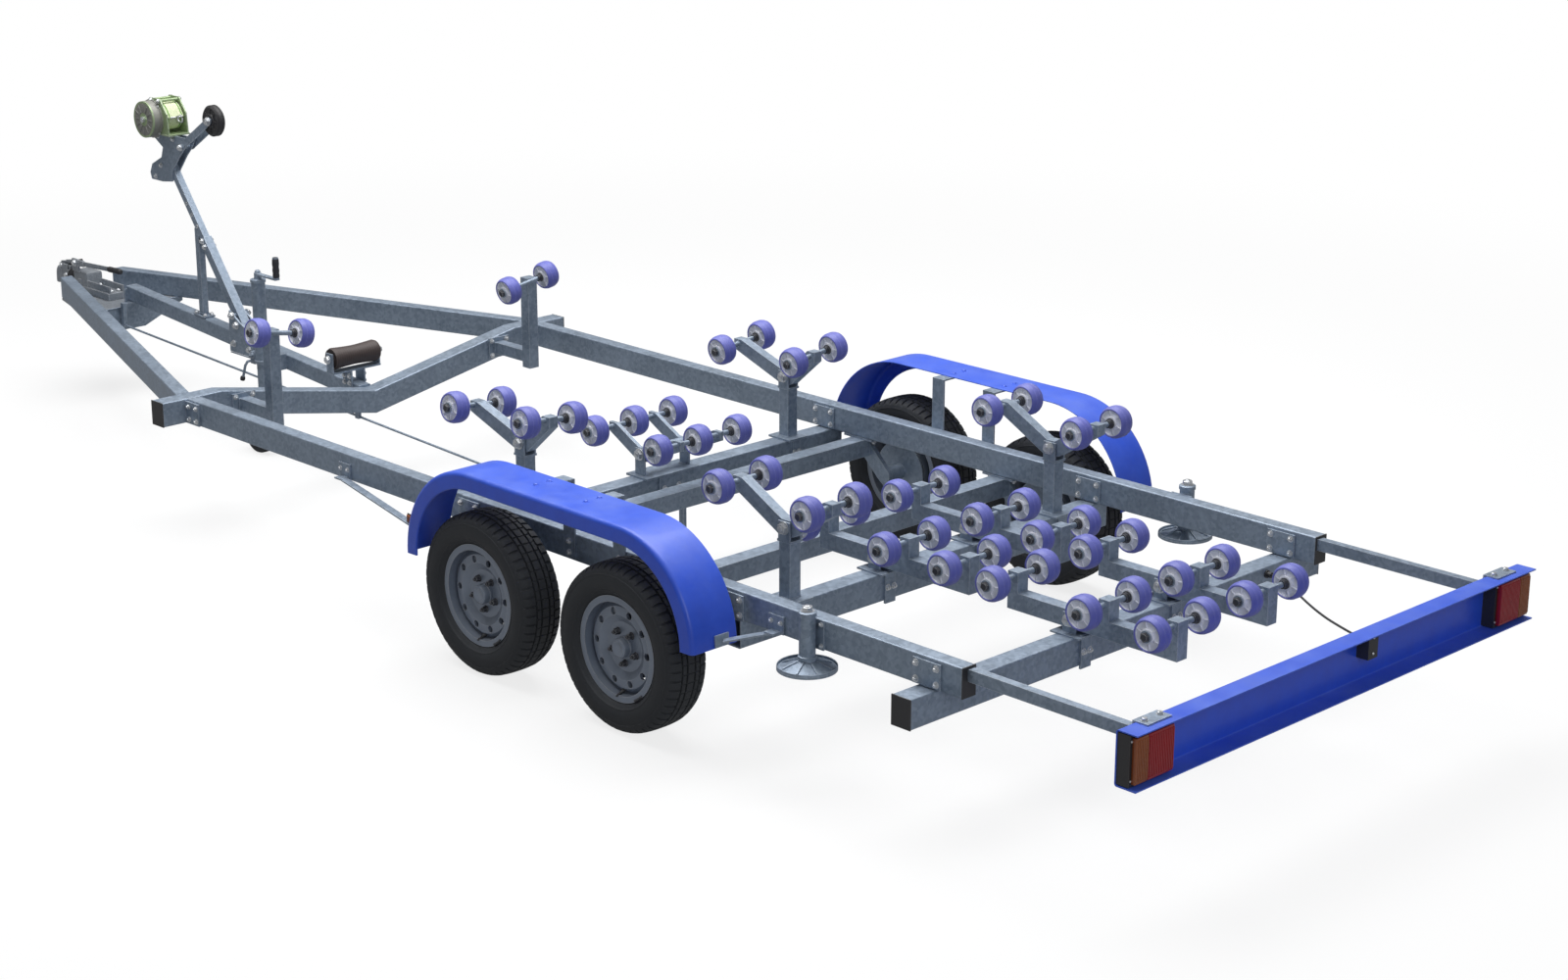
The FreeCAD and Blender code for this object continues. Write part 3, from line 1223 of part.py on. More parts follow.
def make_jockey():
    """Jockey wheel, lowered to the ground: clamped tube, sliding leg, swivelling fork and wheel."""
    x = s.jockey_x
    y = s.jockey_y
    top = s.jockey_tube_top
    tube_body = rod("jockey_tube_solid", "jockey_tube", (x, y, s.jockey_tube_bottom), (x, y, top))
    tube_bore = rod("jockey_tube_bore", "jockey_leg + pin_clearance", (x, y, s.jockey_tube_bottom - 1),
                    (x, y, top - 8))
    sleeve = cut("jockey_sleeve_tube", tube_body, tube_bore)
    clamp_z = spine_z(x)
    gap = y - s.spine_width / 2
    clamp = block("jockey_clamp", "90", f"{gap}", "70", (x, s.spine_width / 2 + gap / 2, clamp_z))
    clamp = cut("jockey_clamp_cut", clamp,
                rod("jockey_clamp_bore", "jockey_tube", (x, y, clamp_z - 60), (x, y, clamp_z + 60)))
    crank_hub = rod("jockey_crank_hub", "16", (x, y, top), (x, y, top + 30))
    crank = bar("jockey_crank", "24", "8", (x, y, top + 24), (x - 150, y, top + 24), Z_AXIS)
    grip = rod("jockey_grip", "13", (x - 142, y, top + 26), (x - 142, y, top + 120))
    holder = join("jockey_holder", [sleeve, clamp, crank_hub, crank, grip])
    axle_z = s.jockey_wheel_radius
    crown_z = axle_z + s.jockey_wheel_radius + 12
    leg_bottom = crown_z + 8 + 0.5
    leg_solid = rod("jockey_leg_solid", "jockey_leg", (x, y, leg_bottom),
                    (x, y, leg_bottom + s.jockey_leg_length))
    leg_bore = rod("jockey_leg_bore", "12 + pin_clearance", (x, y, leg_bottom - 1), (x, y, leg_bottom + 60))
    finish("jockey_leg", cut("jockey_leg_bored", leg_solid, leg_bore))
    wheel_x = x + s.jockey_trail
    half = s.jockey_wheel_width / 2
    fork_y = half + 8 + 3
    fork = [block("jockey_crown", f"{s.jockey_trail + 50}", f"{2 * fork_y + 6}", "8",
                  (x + s.jockey_trail / 2, y, crown_z + 4)),
            rod("jockey_kingpin", "12", (x, y, crown_z + 4), (x, y, crown_z + 62)),
            rod("jockey_axle", "8", (wheel_x, y - fork_y - 10, axle_z), (wheel_x, y + fork_y + 10, axle_z))]
    for side, sign in SIDES:
        fork.append(side_plate(f"jockey_blade_{side}",
                               [(wheel_x - 20, axle_z - 18), (wheel_x + 20, axle_z - 18),
                                (wheel_x + 25, crown_z + 8), (x - 25, crown_z + 8)], "6", y + sign * fork_y))
    finish("jockey_fork", join("jockey_fork_set", fork))
    bore = 8 + s.pin_clearance
    hub = half + 7
    radius = s.jockey_wheel_radius
    upper = [(bore, hub), (20, hub), (20, 12), (radius * 0.62, 12), (radius * 0.66, half - 3),
             (radius * 0.9, half), (radius, half - 10)]
    wheel = turned("jockey_wheel_body", upper + [(r, -w) for r, w in reversed(upper)])
    finish("jockey_wheel", move(wheel, wheel_x, y, axle_z))
    return [holder]


def make_steadies():
    """Screw steadies behind the rear wheels, wound up, with a round pad under each."""
    tubes = []
    for side, sign in SIDES:
        y = sign * (s.rail_outer_y + 6 + s.steady_tube)
        low = rail_bottom - 30
        high = s.rail_top + 26
        solid = rod(f"steady_{side}_solid", "steady_tube", (s.steady_x, y, low), (s.steady_x, y, high))
        bore = rod(f"steady_{side}_bore", "steady_rod + pin_clearance", (s.steady_x, y, low - 1),
                   (s.steady_x, y, high - 6))
        plate_block = block(f"steady_{side}_plate", "90", "6", "rail_height",
                            (s.steady_x, sign * (s.rail_outer_y + 3), s.rail_top - s.rail_height / 2))
        web = block(f"steady_{side}_web", "12", "20", "80",
                    (s.steady_x, sign * (s.rail_outer_y + 10), s.rail_top - s.rail_height / 2))
        shell = cut(f"steady_{side}_tube", join(f"steady_{side}_body", [solid, plate_block, web]), bore)
        tubes.append(shell)
        screw = rod(f"steady_{side}_screw", "steady_rod", (s.steady_x, y, s.steady_pad_z),
                    (s.steady_x, y, high - 20))
        pad_disc = rod(f"steady_{side}_disc", "steady_pad_radius", (s.steady_x, y, s.steady_pad_z),
                       (s.steady_x, y, s.steady_pad_z + 8))
        dish = doc.addObject("Part::Cone", f"steady_{side}_dish")
        dish.setExpression("Radius1", bound("steady_pad_radius - 12"))
        dish.setExpression("Radius2", bound("steady_rod + 6"))
        dish.Height = 22
        move(dish, s.steady_x, y, s.steady_pad_z + 8)
        finish(f"steady_pad_{side}", join(f"steady_{side}_foot", [screw, pad_disc, dish]))
    return tubes


def end_plug(tag, face, wide, high, across=None):
    """A plastic plug in a tube's open end; face gives its place and which way it looks."""
    x, y, z, axis, sign = face
    cap = 4
    depth = 24
    inner_w = f"{wide} - 2 * tube_wall - 2 * seat_gap"
    inner_h = f"{high} - 2 * tube_wall - 2 * seat_gap"
    if axis == "x":
        head = block(tag + "_cap", f"{cap}", wide, high, (x + sign * cap / 2, y, z))
        body = block(tag + "_plug", f"{depth}", inner_w, inner_h, (x - sign * depth / 2, y, z))
    else:
        head = block(tag + "_cap", wide, f"{cap}", high, (x, y + sign * cap / 2, z))
        body = block(tag + "_plug", inner_w, f"{depth}", inner_h, (x, y - sign * depth / 2, z))
    return join(tag, [head, body])


def make_end_plugs():
    plugs = []
    for side, sign in SIDES:
        plug = end_plug(f"plug_rail_{side}", (s.rail_back, sign * rail_y, leg_z, "x", -1),
                        "rail_width", "rail_height")
        slot = block(f"plug_slot_{side}", "80", "light_arm_width + 2 * seat_gap",
                     "light_arm_height + 2 * seat_gap", (s.rail_back, sign * s.light_arm_y, s.light_arm_z))
        plugs.append(cut(f"plug_rail_{side}_slotted", plug, slot))
        plugs.append(end_plug(f"plug_rear_{side}",
                              (s.rear_cross_x, sign * s.cross_half, cross_z, "y", sign),
                              "cross_width", "cross_height"))
        plugs.append(end_plug(f"plug_vee_{side}", (vee_x, sign * s.cross_half, s.vee_end_z, "y", sign),
                              "vee_width", "vee_height"))
    for name, mouth, sign in (("rear", cable_start, 1), ("bar", cable_end, -1)):
        seat = mouth + X_AXIS * (sign * s.gland_length)
        nut = seat - X_AXIS * (sign * 6)
        plugs.append(join(f"gland_{name}", [rod(f"gland_{name}_body", "gland_radius", seat, mouth),
                                            rod(f"gland_{name}_nut", "gland_radius + 4", seat, nut)]))
    finish("end_plugs", group("plugs", plugs))


def make_cable():
    """The light cable: straight runs joined by tangent arcs, each as wide as its two runs allow."""
    line = cable_end - cable_start
    points = [cable_start, cable_start - X_AXIS * s.cable_lead]
    points += [cable_start + line * share + Vector(0, left, up) for share, left, up in CABLE_SAG]
    points += [cable_end + X_AXIS * s.cable_lead, cable_end]
    points = [spot(*point) for point in points]
    edges = []
    radii = []
    last = points[0]
    for before, corner, after in zip(points, points[1:], points[2:]):
        back = (before - corner).normalize()
        ahead = (after - corner).normalize()
        turn = math.pi - back.getAngle(ahead)
        reach = 0.45 * min((before - corner).Length, (after - corner).Length)
        radius = reach / math.tan(turn / 2)
        inwards = (back + ahead).normalize()
        middle = corner + inwards * (radius / math.cos(turn / 2) - radius)
        edges.append(Part.LineSegment(last, corner + back * reach).toShape())
        edges.append(Part.Arc(corner + back * reach, middle, corner + ahead * reach).toShape())
        last = corner + ahead * reach
        radii.append(round(radius))
    edges.append(Part.LineSegment(last, points[-1]).toShape())
    path = doc.addObject("Part::Feature", "cable_path")
    path.Shape = Part.Wire(edges)
    section = doc.addObject("Part::Circle", "cable_section")
    section.setExpression("Radius", bound("cable_radius"))
    section.Placement = FreeCAD.Placement(points[0], FreeCAD.Rotation(Z_AXIS, points[1] - points[0]))
    sweep = doc.addObject("Part::Sweep", "cable_tube")
    sweep.Sections = [section]
    sweep.Spine = (path, [f"Edge{index}" for index in range(1, len(edges) + 1)])
    sweep.Solid = True
    doc.recompute()
    expected = math.pi * s.cable_radius ** 2 * path.Shape.Length
    print("cable bend radii", radii, "volume", round(sweep.Shape.Volume), "of", round(expected))
    print("cable points", [tuple(round(value / 1000, 4) for value in point) for point in points])
    finish("light_cable", sweep)


def make_brake_rod():
    """The brake rod under the frame, its guide on the dipped member and its lever on the axle."""
    front = Vector(gusset_x - s.brake_rod_setback, s.brake_rod_y, s.brake_rod_front_z)
    back = Vector(AXLES[0][1] + s.axle_trail, s.brake_rod_y, s.brake_rod_back_z)
    slope = (back.z - front.z) / (back.x - front.x)
    pieces = [rod("brake_long_rod", "brake_rod_radius", tuple(front), tuple(back))]
    vee_low = vee_height_at(s.brake_rod_y - 8) - s.vee_height / 2 - s.seat_gap
    hangers = ((vee_x, vee_low), (back.x, rail_bottom - 8 - s.axle_beam - s.seat_gap),
               (front.x, spine_z(front.x) - s.spine_height / 2 - s.seat_gap))
    for index, (x, high) in enumerate(hangers):
        low = front.z + slope * (x - front.x) - 9
        pieces.append(block(f"brake_hanger_{index}", "24", "16", f"{high - low}",
                            (x, s.brake_rod_y, (high + low) / 2)))
    shelf = block("brake_shelf", "24", f"{s.brake_rod_y + 16}", "6",
                  (front.x, s.brake_rod_y / 2, spine_z(front.x - 12) - s.spine_height / 2 - 4))
    finish("brake_rod", join("brake_line", pieces + [shelf]))


make_rails()
make_cross_members()
make_vee_member()
make_drawbar()
make_spine()
make_coupling()
make_mudguards()
make_mudguard_stays()
make_axles()
make_wheels()
make_light_bar()
make_light_arms()
make_lamps()
make_winch_post()
make_winch()
for side_name, side_sign in SIDES:
    outer_cradle(f"outer_front_{side_name}", s.front_cross_x, side_sign * s.outer_y, s.outer_front_lead,
                 s.outer_front_tail, s.outer_low_rod_z, s.outer_rod_z, side_sign * s.outer_roll)
    outer_cradle(f"outer_back_{side_name}", s.back_cross_x, side_sign * s.outer_y, s.outer_back_lead,
                 s.outer_back_tail, s.outer_rod_z, s.outer_rod_z, 0)
    inner_cradle(f"inner_back_{side_name}", s.back_cross_x, side_sign * s.inner_y)
    inner_cradle(f"inner_rear_{side_name}", s.rear_cross_x, side_sign * s.inner_y)
centre_cradle()
finish("roller_stands", group("stands", make_stands() + make_front_posts() + make_keel_and_bow_rollers()))
finish("stand_sleeves", group("sleeves", make_jockey() + make_steadies()))
make_end_plugs()
make_cable()
make_brake_rod()

doc.recompute()
for item in doc.Objects:
    if "Invalid" in item.State or "Error" in item.State:
        raise RuntimeError(f"{item.Name} failed: {item.State}")
for label, piece in finished.items():
    if piece.Shape.isNull() or not piece.Shape.isValid():
        raise RuntimeError(f"{label} has no valid shape")

os.makedirs("parts", exist_ok=True)
for label, piece in finished.items():
    piece.Shape.exportStep(f"parts/{label}.step")
    print(label, len(piece.Shape.Solids), "solids", round(piece.Shape.Volume / 1e6, 3), "litres")
print(len(finished), "sub-parts")
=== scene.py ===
# %% [markdown]
# # A boat trailer, parked on its jockey wheel
#
# The steel structure of this trailer was drawn in CAD and arrives here as a fixed frame. This
# lesson dresses it: it sets up the camera and the light, builds the finishes as node materials,
# and then models the pieces whose looks matter most, such as tyres, rollers, lamps and bolts.
# Everything is in metres. X points forward to the coupling, Y to the trailer's left, Z up.

import json
import math

import bmesh
import bpy
from mathutils import Matrix, Vector


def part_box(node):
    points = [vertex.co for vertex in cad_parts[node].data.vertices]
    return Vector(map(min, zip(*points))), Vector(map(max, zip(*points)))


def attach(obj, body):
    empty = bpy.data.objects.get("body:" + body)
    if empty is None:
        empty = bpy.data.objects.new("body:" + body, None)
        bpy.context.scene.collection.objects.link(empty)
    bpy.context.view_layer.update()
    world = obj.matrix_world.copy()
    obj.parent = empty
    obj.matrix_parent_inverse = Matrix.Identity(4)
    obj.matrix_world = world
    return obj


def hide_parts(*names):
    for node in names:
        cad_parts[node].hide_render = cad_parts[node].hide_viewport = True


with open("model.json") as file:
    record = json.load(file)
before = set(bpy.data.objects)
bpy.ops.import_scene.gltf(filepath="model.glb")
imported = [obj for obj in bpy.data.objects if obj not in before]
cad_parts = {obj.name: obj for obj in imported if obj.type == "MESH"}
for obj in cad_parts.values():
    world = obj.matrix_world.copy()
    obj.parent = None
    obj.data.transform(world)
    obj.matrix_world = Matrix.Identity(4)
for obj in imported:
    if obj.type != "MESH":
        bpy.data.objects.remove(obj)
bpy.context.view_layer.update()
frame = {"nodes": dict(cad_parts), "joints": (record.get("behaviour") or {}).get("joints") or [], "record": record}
nodes = frame["nodes"]
joints = {joint["name"]: joint for joint in frame["joints"]}
scene = bpy.context.scene


def add_object(name, data):
    """Puts a camera, lamp, mesh or curve into the scene."""
    made = bpy.data.objects.new(name, data)
    scene.collection.objects.link(made)
    return made


# %% [markdown]
# ## Camera
#
# The photograph looks down on the trailer from behind its left side. The camera stands where the
# wheels, rails and light bar of the frame fall on the same places as in the picture. The angles
# are a heading, a downward tilt and a tiny roll, which are easier to read than a rotation matrix.

# %% Place the camera
CAMERA_PLACE = Vector((-8.2445, 6.788, 3.551))
CAMERA_HEADING = math.radians(-44.31)
CAMERA_TILT = math.radians(17.364)
CAMERA_ROLL = math.radians(0.098)
SENSOR_WIDTH = 36.0
FOCAL_IN_PIXELS = 2857.8
PICTURE_WIDTH = 1600

view_direction = Vector((
    math.cos(CAMERA_TILT) * math.cos(CAMERA_HEADING),
    math.cos(CAMERA_TILT) * math.sin(CAMERA_HEADING),
    -math.sin(CAMERA_TILT),
))
camera_data = bpy.data.cameras.new("camera")
camera_data.sensor_width = SENSOR_WIDTH
camera_data.lens = FOCAL_IN_PIXELS / PICTURE_WIDTH * SENSOR_WIDTH
camera = add_object("camera", camera_data)
camera.rotation_mode = "QUATERNION"
turn = view_direction.to_track_quat("-Z", "Y")
camera.rotation_quaternion = turn @ Matrix.Rotation(CAMERA_ROLL, 3, "Z").to_quaternion()
camera.location = CAMERA_PLACE
scene.camera = camera
print("Lens:", round(camera_data.lens, 2), "mm")

# %% [markdown]
# ## Tools for shader nodes
#
# Materials are trees of nodes. Adding a node, feeding its inputs and mixing two colours are the
# same few lines each time, so small helpers do them, and the cells below read like recipes.

# %% Write the node helpers
def feed(tree, socket, value):
    """Links a socket to another one, or gives it a plain value."""
    if isinstance(value, bpy.types.NodeSocket):
        tree.links.new(value, socket)
    elif value is not None:
        socket.default_value = value


def add_node(tree, kind, **fed):
    """A new node; each named input is fed by a socket or a value."""
    node = tree.nodes.new("ShaderNode" + kind)
    for label, value in fed.items():
        feed(tree, node.inputs[label.replace("_", " ")], value)
    return node


def maths(tree, operation, first, second=None, clamp=False):
    """One Math node; each operand is a socket or a number."""
    node = add_node(tree, "Math")
    node.operation = operation
    node.use_clamp = clamp
    for socket, operand in zip(node.inputs, (first, second)):
        feed(tree, socket, operand)
    return node.outputs[0]


def blend(tree, factor, first, second):
    """Mixes two colours, given as sockets or as tuples, by a mask."""
    node = add_node(tree, "Mix")
    node.data_type = "RGBA"
    feed(tree, node.inputs["Factor"], factor)
    ends = [socket for socket in node.inputs if socket.type == "RGBA"]
    for socket, colour in zip(ends, (first, second)):
        feed(tree, socket, (*colour, 1.0) if isinstance(colour, tuple) else colour)
    return next(socket for socket in node.outputs if socket.type == "RGBA")


def object_place(tree):
    return add_node(tree, "TexCoord").outputs["Object"]


def choose_shader(tree, factor, first, second, output):
    """Sends the first shader to the output where the factor is 0, and the second where it is 1."""
    mix = add_node(tree, "MixShader", Fac=factor)
    feed(tree, mix.inputs[1], first)
    feed(tree, mix.inputs[2], second)
    feed(tree, tree.nodes[output].inputs["Surface"], mix.outputs[0])


# %% [markdown]
# ## Floor, backdrop and light
#
# The trailer is shown on white, as in a catalogue. The floor is a large pale disc that keeps the
# soft shadow, and it fades to pure white away from the trailer, so no horizon shows. In the
# photograph everything that looks up is bright and every side is dark, so most of the light comes
# from one large lamp overhead. The floor sends little of it back up, which keeps the sides dark.

# %% Build the floor
FLOOR_RADIUS = 60.0
FLOOR_Z = -0.001
FLOOR_BOUNCE = 0.20
FLOOR_TONE = 0.93
REFLECTED_SHARE = 0.35
FADE_START = 3.0
FADE_END = 9.0
LEAST_WHITE = 0.80
WHITE = (1.0, 1.0, 1.0, 1.0)

floor_mesh = bpy.data.meshes.new("floor")
build = bmesh.new()
bmesh.ops.create_circle(build, cap_ends=True, segments=96, radius=FLOOR_RADIUS)
build.to_mesh(floor_mesh)
build.free()
floor = add_object("floor", floor_mesh)
floor.location = (0.0, 0.0, FLOOR_Z)

paper = bpy.data.materials.new("studio_paper")
paper.use_nodes = True
tree = paper.node_tree
ray = add_node(tree, "LightPath").outputs
matt = tree.nodes["Principled BSDF"]
tone = blend(tree, ray["Is Camera Ray"], (FLOOR_BOUNCE,) * 3, (FLOOR_TONE,) * 3)
for label, value in (("Base Color", tone), ("Roughness", 0.9), ("Specular IOR Level", 0.1)):
    feed(tree, matt.inputs[label], value)
distance = add_node(tree, "VectorMath")
distance.operation = "LENGTH"
feed(tree, distance.inputs[0], object_place(tree))
fade = add_node(tree, "MapRange", Value=distance.outputs["Value"], From_Min=FADE_START,
                From_Max=FADE_END, To_Min=LEAST_WHITE)
fade.interpolation_type = "SMOOTHSTEP"
reflected = maths(tree, "MULTIPLY", ray["Is Glossy Ray"], REFLECTED_SHARE)
seen = maths(tree, "MAXIMUM", ray["Is Camera Ray"], reflected)
seen = maths(tree, "MAXIMUM", seen, ray["Is Transmission Ray"])
glow = add_node(tree, "Emission", Color=WHITE, Strength=1.0)
choose_shader(tree, maths(tree, "MULTIPLY", seen, fade.outputs[0]), matt.outputs[0],
              glow.outputs[0], "Material Output")
floor_mesh.materials.append(paper)
print("Floor radius:", FLOOR_RADIUS, "m")

# %% Set the world and the lamps
world = bpy.data.worlds.new("studio")
scene.world = world
world.use_nodes = True
tree = world.node_tree
base_light = tree.nodes["Background"]
base_light.inputs["Color"].default_value = (0.95, 0.97, 1.0, 1.0)
base_light.inputs["Strength"].default_value = 0.16
backdrop = add_node(tree, "Background", Color=WHITE, Strength=1.0)
ray = add_node(tree, "LightPath").outputs
either = maths(tree, "MAXIMUM", ray["Is Camera Ray"], ray["Is Transmission Ray"])
choose_shader(tree, either, base_light.outputs[0], backdrop.outputs[0], "World Output")


def area_lamp(name, place, aim, size, watts, colour):
    """A rectangular lamp that looks from its place towards its aim."""
    data = bpy.data.lights.new(name, "AREA")
    data.shape = "RECTANGLE"
    data.size, data.size_y = size
    data.energy = watts
    data.color = colour
    lamp = add_object(name, data)
    lamp.location = place
    lamp.rotation_mode = "QUATERNION"
    lamp.rotation_quaternion = (Vector(aim) - Vector(place)).to_track_quat("-Z", "Y")


area_lamp("soft_top", (0.8, -0.4, 8.0), (0.0, 0.0, 0.0), (9.0, 6.0), 1000.0, WHITE[:3])
area_lamp("soft_side", (-9.5, 4.0, 4.2), (0.0, 0.0, 0.5), (5.0, 4.0), 170.0, (0.94, 0.97, 1.0))
scene.view_settings.view_transform = "Standard"

# %% [markdown]
# ## Effects that several finishes share
#
# Real finishes are never one flat colour. Zinc grows crystals, edges wear bright, dust settles
# on what faces up, and moulded parts have a fine grain. Each effect is a node group with named
# inputs, so that every material can place it with its own scale and strength. A group puts out a
# mask or a height, never a shader.

# %% Start a node group
def new_group(name, inputs, outputs):
    """A shader node group with named inputs and outputs: the group, and its two ends."""
    group = bpy.data.node_groups.new(name, "ShaderNodeTree")
    for label, value in inputs.items():
        socket = group.interface.new_socket(name=label, in_out="INPUT",
                                            socket_type="NodeSocketFloat")
        socket.default_value = value
    for label in outputs:
        group.interface.new_socket(name=label, in_out="OUTPUT", socket_type="NodeSocketFloat")
    given = group.nodes.new("NodeGroupInput").outputs
    return group, given, group.nodes.new("NodeGroupOutput").inputs


def noise(tree, place, scale, detail=3.0, roughness=0.55):
    return add_node(tree, "TexNoise", Vector=place, Scale=scale, Detail=detail,
                    Roughness=roughness).outputs["Fac"]


# %% [markdown]
# Zinc spangle: hot-dip galvanising freezes into flat crystals a centimetre or so across, each
# with its own tone. A Voronoi texture gives one random tone per cell, and its borders are worth
# a very slight ridge.

# %% Build the zinc group
CRYSTAL_SHARE = 0.45
CLOUD_SHARE = 0.75

zinc_group, given, result = new_group("zinc_spangle", {"Scale": 90.0}, ["Tone", "Height"])
place = object_place(zinc_group)
crystals = add_node(zinc_group, "TexVoronoi", Vector=place, Scale=given["Scale"])
split = add_node(zinc_group, "SeparateColor", Color=crystals.outputs["Color"])
clouds = noise(zinc_group, place, 5.0, 5.0, 0.6)
crystal_part = maths(zinc_group, "MULTIPLY", split.outputs["Red"], CRYSTAL_SHARE)
cloud_part = maths(zinc_group, "MULTIPLY", clouds, CLOUD_SHARE)
feed(zinc_group, result["Tone"], maths(zinc_group, "ADD", crystal_part, cloud_part, True))
feed(zinc_group, result["Height"], crystals.outputs["Distance"])
print("Group:", zinc_group.name)

# %% [markdown]
# Edge wear: comparing the true normal with one that is blended round a small radius tells how
# near an edge a point is. Noise breaks the line up, so that the wear is not an even border.

# %% Build the edge wear group
EDGE_RADIUS = 0.004
WEAR_GAIN = 6.0

wear_group, given, result = new_group("edge_wear", {"Amount": 1.0, "Scale": 40.0}, ["Mask"])
rounded = add_node(wear_group, "Bevel", Radius=EDGE_RADIUS)
rounded.samples = 4
agreement = add_node(wear_group, "VectorMath")
agreement.operation = "DOT_PRODUCT"
feed(wear_group, agreement.inputs[0], rounded.outputs["Normal"])
feed(wear_group, agreement.inputs[1], add_node(wear_group, "NewGeometry").outputs["Normal"])
near_edge = maths(wear_group, "SUBTRACT", 1.0, agreement.outputs["Value"], True)
patches = noise(wear_group, object_place(wear_group), given["Scale"], 4.0, 0.7)
broken = maths(wear_group, "MULTIPLY", near_edge, maths(wear_group, "MULTIPLY", patches, WEAR_GAIN))
feed(wear_group, result["Mask"], maths(wear_group, "MULTIPLY", broken, given["Amount"], True))
print("Group:", wear_group.name)

# %% [markdown]
# Dust: it settles on faces that look up, thicker in some patches than in others. The mask is the
# upward part of the normal, times a soft noise.

# %% Build the dust group
LEAST_UPWARD = 0.12
DRIFT_POWER = 1.6

dust_group, given, result = new_group("settled_dust", {"Amount": 0.5, "Scale": 6.0}, ["Mask"])
facing = add_node(dust_group, "SeparateXYZ",
                  Vector=add_node(dust_group, "NewGeometry").outputs["Normal"])
upward = maths(dust_group, "MAXIMUM", facing.outputs["Z"], LEAST_UPWARD)
drift = noise(dust_group, object_place(dust_group), given["Scale"], 6.0, 0.65)
settled = maths(dust_group, "MULTIPLY", upward, maths(dust_group, "POWER", drift, DRIFT_POWER))
feed(dust_group, result["Mask"], maths(dust_group, "MULTIPLY", settled, given["Amount"], True))
print("Group:", dust_group.name)

# %% [markdown]
# Fine grain: moulded rubber, plastic and sprayed paint all have a faint texture, finer than a
# millimetre. One noise at a chosen scale serves as a height for the bump, and a coarse one as
# blotches of tone.

# %% Build the grain group
grain_group, given, result = new_group("fine_grain", {"Scale": 700.0}, ["Height", "Blotch"])
place = object_place(grain_group)
feed(grain_group, result["Height"], noise(grain_group, place, given["Scale"], 2.0))
feed(grain_group, result["Blotch"], noise(grain_group, place, 14.0, 5.0, 0.6))
print("Group:", grain_group.name)

# %% [markdown]
# Woven band: the winch strap is woven in fine ribs, with a coloured stripe near each edge. The
# stripe is a mask over the distance from the middle of the band, and the weave is two sines.

# %% Build the woven band group
band_group, given, result = new_group(
    "woven_band", {"Scale": 2600.0, "Middle": 0.032, "Half": 0.0035}, ["Stripe", "Weave"])
place = add_node(band_group, "SeparateXYZ", Vector=object_place(band_group)).outputs
from_middle = maths(band_group, "SUBTRACT", maths(band_group, "ABSOLUTE", place["Y"]),
                    given["Middle"])
stripe = maths(band_group, "LESS_THAN", maths(band_group, "ABSOLUTE", from_middle), given["Half"])
waves = [maths(band_group, "SINE", maths(band_group, "MULTIPLY", along, given["Scale"]))
         for along in (place["Y"], maths(band_group, "ADD", place["X"], place["Z"]))]
feed(band_group, result["Stripe"], stripe)
feed(band_group, result["Weave"], maths(band_group, "MULTIPLY", *waves))
print("Group:", band_group.name)

# %% [markdown]
# ## Finishes
#
# Every material starts the same way: a base colour that is shifted by a tone mask, then edge
# wear and dust mixed over it, with roughness and bump from the same effects. A helper places
# the shared groups, and each finish gives its own colours, scales and strengths.

# %% Write the material helper
DUST_ROUGHNESS = 0.3
COAT_ROUGHNESS = 0.12
BUMP_STRENGTH = 0.6


def place_group(tree, group, **values):
    """Places a shared group with its own values, and gives its outputs."""
    node = add_node(tree, "Group")
    node.node_tree = group
    for label, value in values.items():
        node.inputs[label].default_value = value
    return node.outputs


def span(tree, value, low, high):
    """Maps a 0 to 1 mask on to a range."""
    return add_node(tree, "MapRange", Value=value, To_Min=low, To_Max=high).outputs[0]


def finish(name, dark, light, tone, roughness, wear, wear_amount, dust, dust_amount,
           grain, grain_depth, metallic=0.0, coat=0.0, zinc_scale=None):
    """A detailed material: tone over the base, worn edges, dust, roughness and bump."""
    material = bpy.data.materials.new(name)
    material.use_nodes = True
    tree = material.node_tree
    if zinc_scale:
        mask, height = place_group(tree, zinc_group, Scale=zinc_scale)
    else:
        height, mask = place_group(tree, grain_group, Scale=grain)
    worn = place_group(tree, wear_group, Amount=wear_amount)["Mask"]
    dusty = place_group(tree, dust_group, Amount=dust_amount)["Mask"]
    colour = blend(tree, worn, blend(tree, span(tree, mask, *tone), dark, light), wear)
    more_rough = maths(tree, "MULTIPLY", dusty, DUST_ROUGHNESS)
    bump = add_node(tree, "Bump", Strength=BUMP_STRENGTH, Distance=grain_depth, Height=height)
    shader = tree.nodes["Principled BSDF"].inputs
    feed(tree, shader["Base Color"], blend(tree, dusty, colour, dust))
    feed(tree, shader["Roughness"],
         maths(tree, "ADD", span(tree, mask, *roughness), more_rough, True))
    feed(tree, shader["Normal"], bump.outputs["Normal"])
    shader["Metallic"].default_value = metallic
    shader["Coat Weight"].default_value = coat
    shader["Coat Roughness"].default_value = COAT_ROUGHNESS
    return material


# %% [markdown]
# Galvanised steel covers most of the trailer: blue-grey, dull, with pale crystals, paler edges
# where the dip ran off, and a little dust. The coupling and the bolts have brighter plating. In
# each call the order is: dark and light colour, ranges of tone and roughness, colour and amount
# of wear and of dust, grain and its depth.

